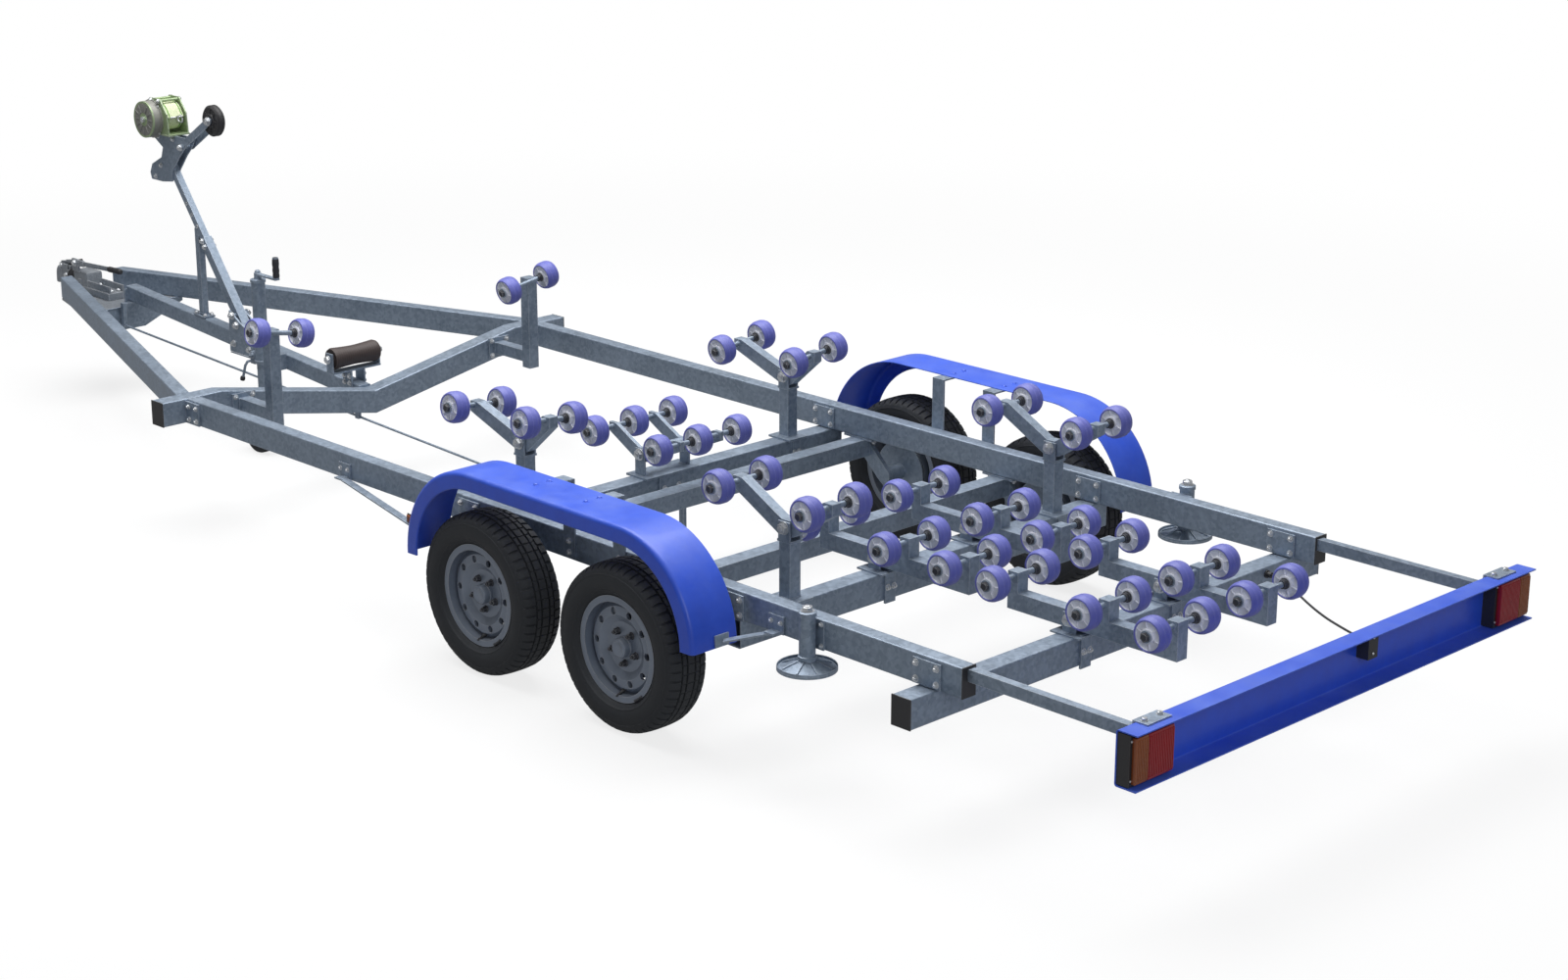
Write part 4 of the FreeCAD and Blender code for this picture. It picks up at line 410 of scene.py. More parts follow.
# %% Mix the metals
galvanised = finish(
    "galvanised_steel", (0.14, 0.187, 0.25), (0.35, 0.425, 0.53), (0, 1), (0.34, 0.58),
    (0.66, 0.71, 0.77), 0.9, (0.5, 0.5, 0.48), 0.25, 420, 0.0004, 0.5, zinc_scale=85)
cast_zinc = finish(
    "cast_zinc", (0.2, 0.225, 0.26), (0.38, 0.41, 0.45), (0, 1), (0.42, 0.62),
    (0.72, 0.73, 0.74), 1, (0.36, 0.34, 0.3), 0.3, 260, 0.0008, 0.6, zinc_scale=140)
plated = finish(
    "plated_bolt", (0.5, 0.52, 0.55), (0.74, 0.76, 0.78), (0, 1), (0.25, 0.42),
    (0.85, 0.86, 0.87), 0.8, (0.4, 0.38, 0.34), 0.2, 900, 0.0001, 0.8)
wheel_enamel = finish(
    "wheel_enamel", (0.17, 0.205, 0.27), (0.29, 0.34, 0.43), (0.2, 0.9), (0.35, 0.5),
    (0.62, 0.63, 0.64), 0.7, (0.36, 0.33, 0.28), 0.5, 600, 0.0002, 0.35, 0.2)
winch_paint = finish(
    "winch_paint", (0.26, 0.36, 0.18), (0.42, 0.54, 0.31), (0.2, 0.9), (0.35, 0.55),
    (0.6, 0.62, 0.6), 1.2, (0.4, 0.38, 0.33), 0.3, 520, 0.0002, 0.4)
dark_steel = finish(
    "dark_steel", (0.03, 0.032, 0.04), (0.085, 0.088, 0.1), (0, 1), (0.35, 0.55),
    (0.4, 0.41, 0.43), 0.7, (0.2, 0.18, 0.16), 0.3, 900, 0.0002, 0.5)
gear_grey = finish(
    "gear_grey", (0.22, 0.22, 0.2), (0.34, 0.34, 0.31), (0, 1), (0.4, 0.58),
    (0.34, 0.35, 0.36), 0.8, (0.26, 0.25, 0.23), 0.35, 500, 0.0004, 0.2)
print("Metals:", [m.name for m in (galvanised, cast_zinc, plated, wheel_enamel, winch_paint)])

# %% [markdown]
# The mudguards and the light bar are sheet with a bright blue coat: glossy, a little uneven,
# dusty on top. The rollers are a softer violet-blue plastic round pale nylon hubs. The webbing
# of the winch strap gets its stripe and its weave from the woven band group.

# %% Mix the coats, plastics and rubbers
TONE = (0.1, 1.0)
blue_coat = finish(
    "blue_coat", (0.016, 0.066, 0.6), (0.03, 0.118, 0.84), TONE, (0.3, 0.46),
    (0.1, 0.22, 0.88), 0.8, (0.32, 0.42, 0.72), 0.5, 380, 0.00035, coat=0.12)
roller_blue = finish(
    "roller_blue", (0.085, 0.098, 0.42), (0.18, 0.2, 0.64), TONE, (0.36, 0.55),
    (0.3, 0.3, 0.7), 0.9, (0.34, 0.34, 0.55), 0.45, 500, 0.0004)
hub_nylon = finish(
    "hub_nylon", (0.76, 0.78, 0.9), (0.9, 0.92, 0.98), TONE, (0.4, 0.6),
    (0.8, 0.8, 0.82), 0.5, (0.4, 0.38, 0.36), 0.4, 600, 0.0003)
tyre_rubber = finish(
    "tyre_rubber", (0.012, 0.014, 0.018), (0.03, 0.034, 0.041), TONE, (0.55, 0.8),
    (0.06, 0.065, 0.07), 0.5, (0.14, 0.145, 0.155), 0.7, 900, 0.0005)
black_plastic = finish(
    "black_plastic", (0.014, 0.014, 0.016), (0.035, 0.035, 0.04), TONE, (0.42, 0.6),
    (0.09, 0.09, 0.09), 0.6, (0.16, 0.15, 0.14), 0.35, 800, 0.0003)
roller_black = finish(
    "roller_black", (0.03, 0.02, 0.018), (0.06, 0.042, 0.04), TONE, (0.45, 0.65),
    (0.13, 0.1, 0.09), 0.6, (0.2, 0.17, 0.16), 0.35, 500, 0.0004)
webbing = finish(
    "webbing", (0.66, 0.74, 0.42), (0.88, 0.93, 0.66), TONE, (0.7, 0.9),
    (0.92, 0.95, 0.76), 0.5, (0.72, 0.74, 0.58), 0.15, 900, 0.0006)
lens_red = finish(
    "lens_red", (0.24, 0.004, 0.012), (0.4, 0.01, 0.02), TONE, (0.22, 0.36),
    (0.6, 0.05, 0.06), 0.4, (0.34, 0.08, 0.09), 0.2, 300, 0.0002, coat=0.15)
lens_amber = finish(
    "lens_amber", (0.2, 0.04, 0.008), (0.32, 0.075, 0.014), TONE, (0.22, 0.36),
    (0.62, 0.24, 0.08), 0.4, (0.32, 0.14, 0.08), 0.2, 300, 0.0002, coat=0.15)

STRIPE_GREEN = (0.2, 0.38, 0.1)
tree = webbing.node_tree
shader = tree.nodes["Principled BSDF"].inputs
band = place_group(tree, band_group)
unstriped = shader["Base Color"].links[0].from_socket
feed(tree, shader["Base Color"], blend(tree, band["Stripe"], unstriped, STRIPE_GREEN))
feed(tree, shader["Normal"].links[0].from_node.inputs["Height"], band["Weave"])
print("Materials so far:", len(bpy.data.materials))

# %% [markdown]
# ## Give the CAD nodes their finish
#
# The frame's tubes, brackets and castings have the right shape already, so they stay and only
# get a material. The record names a material slot for each node, and this table turns each slot
# into one of the finishes above.

# %% Assign the finishes
SLOT_FINISH = {
    "galvanised": galvanised,
    "blue_sheet": blue_coat,
    "coupling_iron": cast_zinc,
    "winch_paint": winch_paint,
    "webbing": webbing,
    "black_plastic": black_plastic,
    "cable_sheath": black_plastic,
    "red_lens": lens_red,
    "blue_roller": roller_blue,
    "black_rubber": roller_black,
    "tyre_rubber": tyre_rubber,
    "wheel_steel": wheel_enamel,
}
for part in frame["record"]["subparts"]:
    node = nodes[part["node"]]
    node.data.materials.clear()
    node.data.materials.append(SLOT_FINISH[part["material_slot"]])
print("Dressed", len(nodes), "nodes")

# %% [markdown]
# ## The light cable
#
# A thin cable runs from a gland on the rear cross member to one on the light bar, and hangs in a
# shallow bow between them. A NURBS curve through a few control points gives such a smooth line,
# and its bevel gives the thickness. The order is set after the points, or the line stays bent.

# %% Lay the light cable
CABLE_ROUTE = (
    (-2.9275, -0.735, 0.415), (-2.9695, -0.735, 0.415), (-3.0278, -0.7123, 0.4034),
    (-3.1076, -0.6643, 0.3949), (-3.1954, -0.6111, 0.3917), (-3.2847, -0.5571, 0.3946),
    (-3.3733, -0.5025, 0.4045), (-3.4597, -0.4481, 0.4163), (-3.5438, -0.3928, 0.4309),
    (-3.6175, -0.35, 0.447), (-3.6595, -0.35, 0.447),
)
CABLE_THICKNESS = 0.008

cable_curve = bpy.data.curves.new("light_lead", "CURVE")
cable_curve.dimensions = "3D"
cable_line = cable_curve.splines.new("NURBS")
cable_line.points.add(len(CABLE_ROUTE) - 1)
for point, place in zip(cable_line.points, CABLE_ROUTE):
    point.co = (*place, 1.0)
cable_line.order_u = 3
cable_line.use_endpoint_u = True
cable_line.resolution_u = 8
cable_curve.bevel_depth = CABLE_THICKNESS / 2
cable_curve.bevel_resolution = 4
cable_curve.materials.append(black_plastic)
light_lead = add_object("light_lead", cable_curve)
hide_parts("light_cable")
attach(light_lead, "chassis")
print("Cable control points:", len(CABLE_ROUTE))

# %% [markdown]
# ## Tools for making pieces
#
# Nearly all of the hardware is turned, pressed, bent from rod or cut from plate. A few helpers
# cover these ways of making. All write into a mesh that is still open, so that a piece may hold
# many bolts and still be one object. Outlines of small parts are given in millimetres, because
# they are easier to read so. A stand says where a form goes: a frame, a place alone, or a place
# and the direction in which its Z looks.

# %% Write the helpers for places
SIDES = (("left", 1), ("right", -1))
BOTH = (1, -1)
UP = (0, 0, 1)
shift = Matrix.Translation


def mm(*places):
    """Turns places in millimetres into metres."""
    return [tuple(value / 1000 for value in place) for place in places]


def flipped(outline, flip=-1):
    """An outline of (radius, height), turned over where flip is -1."""
    return [(radius, flip * height) for radius, height in outline]


def mirrored(half):
    """A whole outline from the half that ends on its middle line."""
    return half + flipped(reversed(half[:-1]))


def spin(angle, axis="Z"):
    return Matrix.Rotation(angle, 4, axis)


def around(radius, angle, height=0.0):
    """A place at an angle round the Z axis."""
    return Vector((radius * math.cos(angle), radius * math.sin(angle), height))


def facing_along(place, axis, turn=0.0):
    """A frame whose Z looks along the axis, with its origin at the place."""
    aim = Vector(UP).rotation_difference(Vector(axis)).to_matrix().to_4x4()
    return shift(Vector(place)) @ aim @ spin(turn)


def as_frame(stand):
    """The frame that a stand means, whichever of its three forms it has."""
    if isinstance(stand, Matrix):
        return stand
    return shift(stand) if len(stand) == 3 else facing_along(*stand)


def pivot(name):
    return Vector(joints[name]["pos_m"])


# %% Write the helpers for forms
BOLT_TURN = 0.3


def turned(build, outline, stand, segments=32, material=0, smooth=True, closed=False):
    """Turns an outline of (radius, height) about the Z axis of its stand."""
    stand = as_frame(stand)
    rows = []
    for radius, height in outline:
        count = 1 if radius < 1e-6 else segments
        rows.append([build.verts.new(stand @ around(radius, math.tau * step / segments, height))
                     for step in range(count)])
    for low, high in zip(rows, rows[1:] + (rows[:1] if closed else [])):
        for step in range(segments):
            after = (step + 1) % segments
            corners = [low[step % len(low)], low[after % len(low)],
                       high[after % len(high)], high[step % len(high)]]
            corners = list(dict.fromkeys(corners))
            if len(corners) > 2:
                face = build.faces.new(corners)
                face.smooth = smooth
                face.material_index = material


def plate(build, size, stand, material=0, soften=0.0015):
    """A cut plate or bar with softened edges, about the origin of its stand."""
    made = bmesh.ops.create_cube(build, size=1.0,
                                 matrix=as_frame(stand) @ Matrix.Diagonal((*size, 1.0)))
    edges = list({edge for vertex in made["verts"] for edge in vertex.link_edges})
    for face in {face for vertex in made["verts"] for face in vertex.link_faces}:
        face.material_index = material
    bmesh.ops.bevel(build, geom=edges, offset=min(soften, 0.3 * min(size)), segments=2,
                    profile=0.6, affect="EDGES", clamp_overlap=True, material=-1)


def ribs(build, count, size, stand, place, material=0, soften=0.0012, start=0.0):
    """Small bars set like spokes round the Z axis of a stand."""
    for step in range(count):
        spoke = as_frame(stand) @ spin(math.tau * (step + start) / count)
        plate(build, size, spoke @ as_frame(place), material, soften)


def skin(build, rows, material=0, closed=False):
    """Joins rings of places into one skin, with flat ends or closed on itself."""
    rings = [[build.verts.new(place) for place in row] for row in rows]
    for ring, beside in zip(rings, rings[1:] + (rings[:1] if closed else [])):
        for low in range(len(ring)):
            high = (low + 1) % len(ring)
            face = build.faces.new((ring[low], ring[high], beside[high], beside[low]))
            face.smooth = True
            face.material_index = material
    if not closed:
        for ring in (rings[0], rings[-1]):
            build.faces.new(ring).material_index = material


def swept(build, path, radius, sides=10, material=0, radii=None):
    """A round rod that follows a path of points, with flat ends."""
    points = [Vector(place) for place in path]
    rows = []
    across = None
    for index, place in enumerate(points):
        along = (points[min(index + 1, len(points) - 1)] - points[max(index - 1, 0)]).normalized()
        if across is None:
            across = along.orthogonal().normalized()
        across = (across - along * across.dot(along)).normalized()
        up = along.cross(across)
        reach = radii[index] if radii else radius
        spots = [around(reach, math.tau * step / sides) for step in range(sides)]
        rows.append([place + across * spot.x + up * spot.y for spot in spots])
    skin(build, rows, material)


def bolt(build, place, axis, thread=0.01, stud=0.0, material=0):
    """A washer and a hexagon with a chamfer, and the end of the stud where it is a nut."""
    stand = facing_along(place, axis, BOLT_TURN)
    hexagon = 0.93 * thread
    tall = 0.7 * thread
    low = 0.18 * thread
    top = low + tall
    turned(build, [(0, 0), (1.15 * thread, 0), (1.15 * thread, low), (0, low)], stand, 20, material)
    turned(build, [(hexagon, low), (hexagon, low + 0.85 * tall), (0.86 * hexagon, top), (0, top)],
           stand, 6, material, smooth=False)
    if stud:
        turned(build, [(0.5 * thread, top - 0.001), (0.5 * thread, top + stud - 0.001),
                       (0.42 * thread, top + stud), (0, top + stud)], stand, 12, material)


def new_piece(name, build, body, finishes, replaced=(), sharp=40.0):
    """Closes a mesh, gives it its finishes and lets it ride on a body."""
    bmesh.ops.recalc_face_normals(build, faces=build.faces)
    mesh = bpy.data.meshes.new(name)
    build.to_mesh(mesh)
    build.free()
    mesh.set_sharp_from_angle(angle=math.radians(sharp))
    for material in finishes:
        mesh.materials.append(material)
    piece = add_object(name, mesh)
    if replaced:
        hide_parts(*replaced)
    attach(piece, body)


bodies = frame["record"]["behaviour"]["bodies"]
body_of = {node: body for body, held in bodies.items() for node in held}
print("Bodies:", len(bodies))

# %% [markdown]
# ## Tyres
#
# A trailer tyre has a shallow ribbed tread with open shoulder blocks, and side walls with a few
# moulded rings. The tyre is turned from one outline, but each of its columns may be let in: the
# shoulder and the middle ribs have their cross grooves at different places round the tread. That
# keeps the tread real geometry at a modest number of faces. The walls carry no lettering.

# %% Mould the tyres
TYRE_HALF = mm((293, 0), (293, 13), (286.2, 14.5), (286.2, 19.5), (292.9, 21), (292.2, 34.5),
               (285.5, 36), (285.5, 40.5), (291.5, 42), (290.5, 53), (288, 61.5), (283.5, 70.5),
               (277, 77.2), (270, 81.2), (261.2, 84), (260.4, 85.4), (257.4, 85.8), (256.4, 84.8),
               (245, 86.8), (236.6, 87.6), (224, 87), (215, 85), (207, 81.8), (205.8, 82.6),
               (203, 81.6), (201.8, 79.6), (196, 74.2), (189.5, 69), (186.5, 64), (186, 61.8),
               (168, 61.8))
TREAD = ["rib"] * 2 + [""] * 2 + ["rib"] * 2 + [""] * 2 + ["block"] * 4 + ["edge"] + [""] * 18
CUT_DEPTH = {"rib": 0.0045, "block": 0.0065, "edge": 0.003, "": 0.0}
CUT_WITH = {"rib": ("rib",), "block": ("block", "edge"), "": ()}
PITCHES = 54
COLUMNS = ((0.0, ""), (0.28, ""), (0.3, "rib"), (0.4, "rib"), (0.42, ""), (0.72, ""),
           (0.75, "block"), (0.97, "block"))
WHEELS = [(f"{end}_{side}", sign) for end in ("front", "back") for side, sign in SIDES]


def tyre_rows(stand):
    """The outline at each column round the axis, let in where the column is a groove."""
    outline = list(zip(TYRE_HALF + flipped(reversed(TYRE_HALF[1:])), TREAD + TREAD[:0:-1]))
    return [[stand @ around(radius - (CUT_DEPTH[kind] if kind in CUT_WITH[groove] else 0.0),
                            math.tau * (pitch + share) / PITCHES, height)
             for (radius, height), kind in outline]
            for pitch in range(PITCHES) for share, groove in COLUMNS]


for wheel, sign in WHEELS:
    build = bmesh.new()
    skin(build, tyre_rows(facing_along(pivot(f"spin_{wheel}"), (0, sign, 0))), closed=True)
    new_piece(f"road_tyre_{wheel}", build, f"road_wheel_{wheel}", [tyre_rubber],
              [f"tyre_{wheel}"], sharp=28.0)
print("Tyre columns:", PITCHES * len(COLUMNS))

# %% [markdown]
# ## Wheel hardware
#
# Five cone nuts on studs hold each wheel, and a pressed grease cover closes the hub. A valve
# stands out of the rim, and a small lead weight is clipped to the rim's edge, as on a balanced
# wheel.

# %% Fit nuts, grease covers and valves
DISC_FACE = 0.03
NUT_RING = 0.058
WEIGHT_RING = 0.18
WEIGHT_ANGLE = 2.2
CONE = mm((13.5, 0), (10.5, 4))
NUT = mm((11.2, 3), (11.2, 14.5), (9.5, 17), (6.2, 17))
STUD = mm((6, 16), (6, 23.5), (4.5, 25), (0, 25))
GREASE_COVER = mm((36.5, 30), (36.5, 36), (34.8, 37.5), (34.8, 54), (32.5, 60), (25, 63.5),
                  (23.5, 62.5), (0, 62))
VALVE = mm((7.5, -10), (7, 4), (4.8, 8), (4.5, 26), (3.4, 27), (3.4, 34), (0, 34))

for wheel, sign in WHEELS:
    stand = facing_along(pivot(f"spin_{wheel}"), (0, sign, 0))
    build = bmesh.new()
    for step in range(5):
        spot = stand @ shift(around(NUT_RING, math.tau * (step + 0.25) / 5, DISC_FACE))
        turned(build, CONE, spot, 16)
        turned(build, NUT, spot @ spin(0.5 * step), 6, smooth=False)
        turned(build, STUD, spot, 14)
    turned(build, GREASE_COVER, stand, 40, 1)
    turned(build, VALVE, stand @ shift((0.0, 0.153, 0.04)) @ spin(-0.35, "X"), 14, 2)
    swept(build, [stand @ around(WEIGHT_RING, WEIGHT_ANGLE + angle, 0.0685)
                  for angle in (-0.12, -0.06, 0.0, 0.06, 0.12)], 0.0042, 8)
    new_piece(f"wheel_hardware_{wheel}", build, f"road_wheel_{wheel}",
              [dark_steel, wheel_enamel, black_plastic])
print("Wheel nuts:", 5 * len(WHEELS))

# %% [markdown]
# ## Boat rollers
#
# The boat rests on fifty moulded rollers. Each has a blue tread with two shallow grooves, and pale
# side faces with a hub and six ribs. One roller is drawn as an outline and ribs, and every axle
# then gets its row. The places follow the cradles' pivots, so each row stays on its own axle.

# %% Draw one roller
ROLLER_HALF_WIDTH = 0.031
TREAD_HALF = mm((46.8, 27.2), (47.8, 29), (50, 29.8), (53, 28.3), (56, 22.5), (58.2, 15),
                (58.9, 12), (58, 10.8), (58, 9.2), (59, 8), (59, 0))
FACE_OUTLINE = mm((10.3, 31), (22.8, 31), (24.8, 29.2), (24.8, 23.6), (26.2, 22.6), (43, 22.2),
                  (45.2, 23.6), (45.8, 27.2), (48, 27.2))


def roller(build, place, axis, turn):
    """One boat roller: material 0 is its tread, material 1 its side faces."""
    stand = facing_along(place, axis, turn)
    turned(build, mirrored(TREAD_HALF), stand, 36, 0)
    for flip in BOTH:
        turned(build, flipped(FACE_OUTLINE, flip), stand, 36, 1)
        ribs(build, 6, (0.02, 0.0032, 0.005), stand, (0.035, 0.0, flip * 0.0248), 1, 0.0006)


def row_places(middle, count, gap, axis):
    """The middles of the rollers that share an axle."""
    return [middle + axis * gap * (index - (count - 1) / 2) for index in range(count)]


def level(turn_degrees):
    """The direction of an axle that is turned out of level."""
    angle = math.radians(turn_degrees)
    return Vector((0.0, math.cos(angle), math.sin(angle)))


# %% Set every row of rollers on its axle
# Each cradle: where its axles are as (ahead of the pivot, height), the gap between its two
# rollers, and how many degrees its axles are turned out of level.
INNER_AXLES = ((0.247, 0.572), (-0.133, 0.572), (-0.406, 0.572))
CRADLES = (
    ("outer_front", ((0.265, 0.778), (-0.141, 0.802)), 0.218, 6),
    ("outer_back", ((0.227, 0.802), (-0.191, 0.802)), 0.218, 0),
    ("inner_back", INNER_AXLES, 0.245, 0),
    ("inner_rear", INNER_AXLES, 0.245, 0),
)
axle_rows = {}
for side, sign in SIDES:
    for label, axles, gap, turn in CRADLES:
        start = pivot(f"{label}_{side}_tilt")
        axle_rows[f"{label}_{side}_rollers"] = [
            (Vector((start.x + ahead, start.y, high)), 2, gap, level(sign * turn))
            for ahead, high in axles]
    axle_rows[f"front_rollers_{side}"] = [
        (pivot(f"front_rollers_{side}_spin"), 2, 0.21, level(sign * 10))]
start = pivot("centre_tilt")
axle_rows["centre_rollers"] = [
    (Vector((start.x + ahead, 0.0, 0.606)), 3, 0.2, level(0)) for ahead in (0.16, -0.2)]

roller_count = 0
for node, rows in axle_rows.items():
    build = bmesh.new()
    for row in rows:
        for place in row_places(*row):
            roller(build, place, row[-1], 0.7 * roller_count)
            roller_count += 1
    new_piece(node.replace("rollers", "boat_rollers"), build, body_of[node],
              [roller_blue, hub_nylon], [node], sharp=35.0)
print("Boat rollers:", roller_count)

# %% [markdown]
# Axle ends: each rod is threaded, with a lock nut outside its washer, and a short sleeve keeps the
# rollers apart from the cradle. These small parts ride with the cradle.

# %% Put nuts and sleeves on the axles
NUT_CLEAR = 0.0053
SLEEVE_CLEAR = 0.0003
LOCK_NUT = mm((10, 0), (16.8, 0), (16.8, 7), (15, 8.5), (10, 8.5))
THREAD_END = mm((10, 8), (11.8, 8.5), (11.2, 10), (0, 10))
SLEEVE = mm((10.3, 0), (19, 0), (19, 3), (15, 4), (14.2, 18), (10.3, 19))

for node, rows in axle_rows.items():
    carrier = "chassis" if node.startswith("front") else body_of[node.replace("rollers", "cradle")]
    build = bmesh.new()
    for middle, count, gap, axis in rows:
        half = (count - 1) * gap / 2 + ROLLER_HALF_WIDTH
        for flip in BOTH:
            outward = axis * flip
            stand = facing_along(middle + outward * (half + NUT_CLEAR), outward, 0.4)
            turned(build, LOCK_NUT, stand, 6, smooth=False)
            turned(build, THREAD_END, stand, 18)
        places = row_places(middle, count, gap, axis)
        for first, second in zip(places, places[1:]):
            for flip in BOTH:
                reach = flip * (gap / 2 - ROLLER_HALF_WIDTH - SLEEVE_CLEAR)
                turned(build, SLEEVE, ((first + second) / 2 + axis * reach, -axis * flip), 24)
    new_piece(node.replace("rollers", "axle_nuts"), build, carrier, [dark_steel])
print("Axle rows:", sum(len(rows) for rows in axle_rows.values()))

# %% [markdown]
# ## Keel roller and bow roller
#
# Both are black rubber. The keel roller is waisted, with rings round it. The bow roller is a wide
# wheel with a grooved tread and a stepped side.

# %% Turn the two black rollers
KEEL_HALF = 0.115
KEEL_RINGS = 20
KEEL_END = [(0.0101, KEEL_HALF), (0.02, KEEL_HALF), (0.0215, KEEL_HALF - 0.004),
            (0.04, KEEL_HALF - 0.004), (0.0432, KEEL_HALF)]
BOW_HALF = mm((10.1, 24), (29, 24), (31, 22.2), (33, 18.5), (52, 18), (54.5, 20), (60, 20),
              (66, 15), (69.5, 11), (69.5, 6), (67.2, 4.5), (67.2, 0))

keel_outline = list(KEEL_END)
for step in range(1, KEEL_RINGS):
    from_middle = 1 - 2 * step / KEEL_RINGS
    along = KEEL_HALF * from_middle
    swell = 0.0412 + 0.0066 * abs(from_middle) ** 1.5
    keel_outline += [(swell, along + 0.0022), (swell, along - 0.0012),
                     (swell - 0.0016, along - 0.0022), (swell - 0.0016, along - 0.0036)]
keel_outline += flipped(reversed(KEEL_END))
build = bmesh.new()
turned(build, keel_outline, (pivot("keel_roller_spin"), (0, 1, 0)), 48, closed=True)
new_piece("keel_rubber", build, "keel_support", [roller_black], ["keel_roller"],
          sharp=30.0)

bow_place = pivot("bow_roller_spin")
build = bmesh.new()
turned(build, mirrored(BOW_HALF), (bow_place, (0, 1, 0)), 48, closed=True)
for flip in BOTH:
    ribs(build, 8, (0.019, 0.004, 0.004), (bow_place, (0, flip, 0)), (0.0425, 0.0, 0.0195),
         soften=0.0008)
new_piece("bow_rubber", build, "bow_stop", [black_plastic], ["bow_roller"],
          sharp=30.0)
print("Keel roller outline points:", len(keel_outline))

# %% [markdown]
# ## Cradle and stand hardware
#
# Each cradle turns on a pin between two ears. The pin's ends carry a washer and a nut, and bolts go
# through the clamps that hold every stand to its cross member. These parts belong to the frame.

# %% Fit the pivot nuts and the clamp bolts
CROSS_HALF = 0.04
HOOK = 0.008
CLAMP_BOLT_Z = 0.39
PIVOT_ENDS = {"outer": 0.028, "inner": 0.033, "centre": 0.116}
CLAMP_WIDTH = {"outer": 0.04, "inner": 0.05, "centre": 0.12}
tilts = [name for name in joints if name.endswith("_tilt")]
build = bmesh.new()
for name in tilts:
    kind = name.split("_")[0]
    place = pivot(name)
    for flip in BOTH:
        bolt(build, place + Vector((0, flip * PIVOT_ENDS[kind], 0)), (0, flip, 0), 0.02, 0.004)
        for share in (-0.3, 0.3):
            bolt(build, (place.x + flip * (CROSS_HALF + HOOK), place.y + share * CLAMP_WIDTH[kind],
                         CLAMP_BOLT_Z), (flip, 0, 0), 0.01, 0.005)
new_piece("stand_bolts", build, "chassis", [plated])
print("Pivots:", len(tilts))

# %% [markdown]
# ## Mudguards
#
# Each mudguard is one long sheet over both wheels: flat on top, round at both ends, with a soft
# fold along its outer side and a skirt that ends in a rolled edge. Its section is a closed
# outline of the sheet's two faces, carried along the side view, so the sheet has real thickness.

# %% Press the mudguards
GUARD_MIDDLE = -1.3215
GUARD_ARC_FROM_MIDDLE = 0.392
GUARD_RADIUS = 0.36
GUARD_ARC_Z = 0.382
GUARD_FLAT = (0.975, 1.01, 1.06, 1.11)
GUARD_OUTER_Y = 1.17
GUARD_ENDS = (0.373, 0.388)
GUARD_TOP = GUARD_ARC_Z + GUARD_RADIUS
SHEET = 0.003
FOLD = 0.016
SKIRT = 0.062
ROLL = 0.0042


def guard_section():
    """The sheet's outline as (sideways, depth): outer face there, inner face back."""
    outside = [(across, 0.0) for across in GUARD_FLAT]
    inside = [(across, SHEET) for across in GUARD_FLAT]
    for face, radius in ((outside, FOLD), (inside, FOLD - SHEET)):
        for step in range(7):
            spot = around(radius, math.radians(90 - 15 * step))
            face.append((GUARD_OUTER_Y - FOLD + spot.x, FOLD - spot.y))
    inside.append((GUARD_OUTER_Y - SHEET, SKIRT - 2.4 * ROLL))
    for step in range(9):
        spot = around(ROLL, math.radians(20 - 30 * step))
        outside.append((GUARD_OUTER_Y - ROLL + spot.x, SKIRT - ROLL - spot.y))
    return outside + inside[::-1]


def guard_stations():
    """Places along the side view: the arc's middle and the direction out of the sheet."""
    front, back = [math.asin((end - GUARD_ARC_Z) / GUARD_RADIUS) for end in GUARD_ENDS]
    up = math.pi / 2
    bend = [step / 24 for step in range(25)]
    ahead = [(1, front + (up - front) * share) for share in bend]
    flat = [(1 - 2 * share, up) for share in (0.2, 0.4, 0.6, 0.8)]
    behind = [(-1, up + (up - back) * share) for share in bend]
    return [(GUARD_MIDDLE + GUARD_ARC_FROM_MIDDLE * share, angle)
            for share, angle in ahead + flat + behind]


build = bmesh.new()
for side, sign in SIDES:
    rows = []
    for middle, angle in guard_stations():
        out = Vector((math.cos(angle), 0.0, math.sin(angle)))
        rows.append([Vector((middle, sign * sideways, GUARD_ARC_Z)) + out * (GUARD_RADIUS - depth)
                     for sideways, depth in guard_section()])
    skin(build, rows)
new_piece("mudguard_sheets", build, "chassis", [blue_coat], ["mudguards"], sharp=35.0)

BOLT_HEAD = mm((12, 0), (12, 1.2), (9.2, 1.8), (8, 4.5), (4.5, 6.2), (0, 6.6))
build = bmesh.new()
for side, sign in SIDES:
    for ahead in (-0.13, 0.13):
        for across in (1.015, 1.075):
            turned(build, BOLT_HEAD, (GUARD_MIDDLE + ahead, sign * across, GUARD_TOP), 20)
new_piece("mudguard_bolts", build, "chassis", [blue_coat])
print("Mudguard stations:", len(guard_stations()))

# %% [markdown]
# ## Light bar and lamps
#
# The light bar is a folded channel, open to the back, with a soft radius at both folds. The lamps
# sit in its ends: a dark housing, with a ribbed lens that is red inboard and amber outboard.

# %% Fold the light bar
BAR_BACK = -3.7585
BAR_FRONT = -3.6815
BAR_LOW = 0.4
BAR_HIGH = 0.573
BAR_HALF = 1.032
BAR_SHEET = 0.004
BAR_FOLD = 0.009


def bar_face(inset):
    """One face of the channel's section, from the lower back edge round to the upper one."""
    places = [(BAR_BACK, BAR_LOW + inset)]
    for fold_z, start in ((BAR_LOW + BAR_FOLD, -90), (BAR_HIGH - BAR_FOLD, 0)):
        for step in range(6):
            spot = around(BAR_FOLD - inset, math.radians(start + 18 * step))
            places.append((BAR_FRONT - BAR_FOLD + spot.x, fold_z + spot.y))
    places.append((BAR_BACK, BAR_HIGH - inset))
    return places


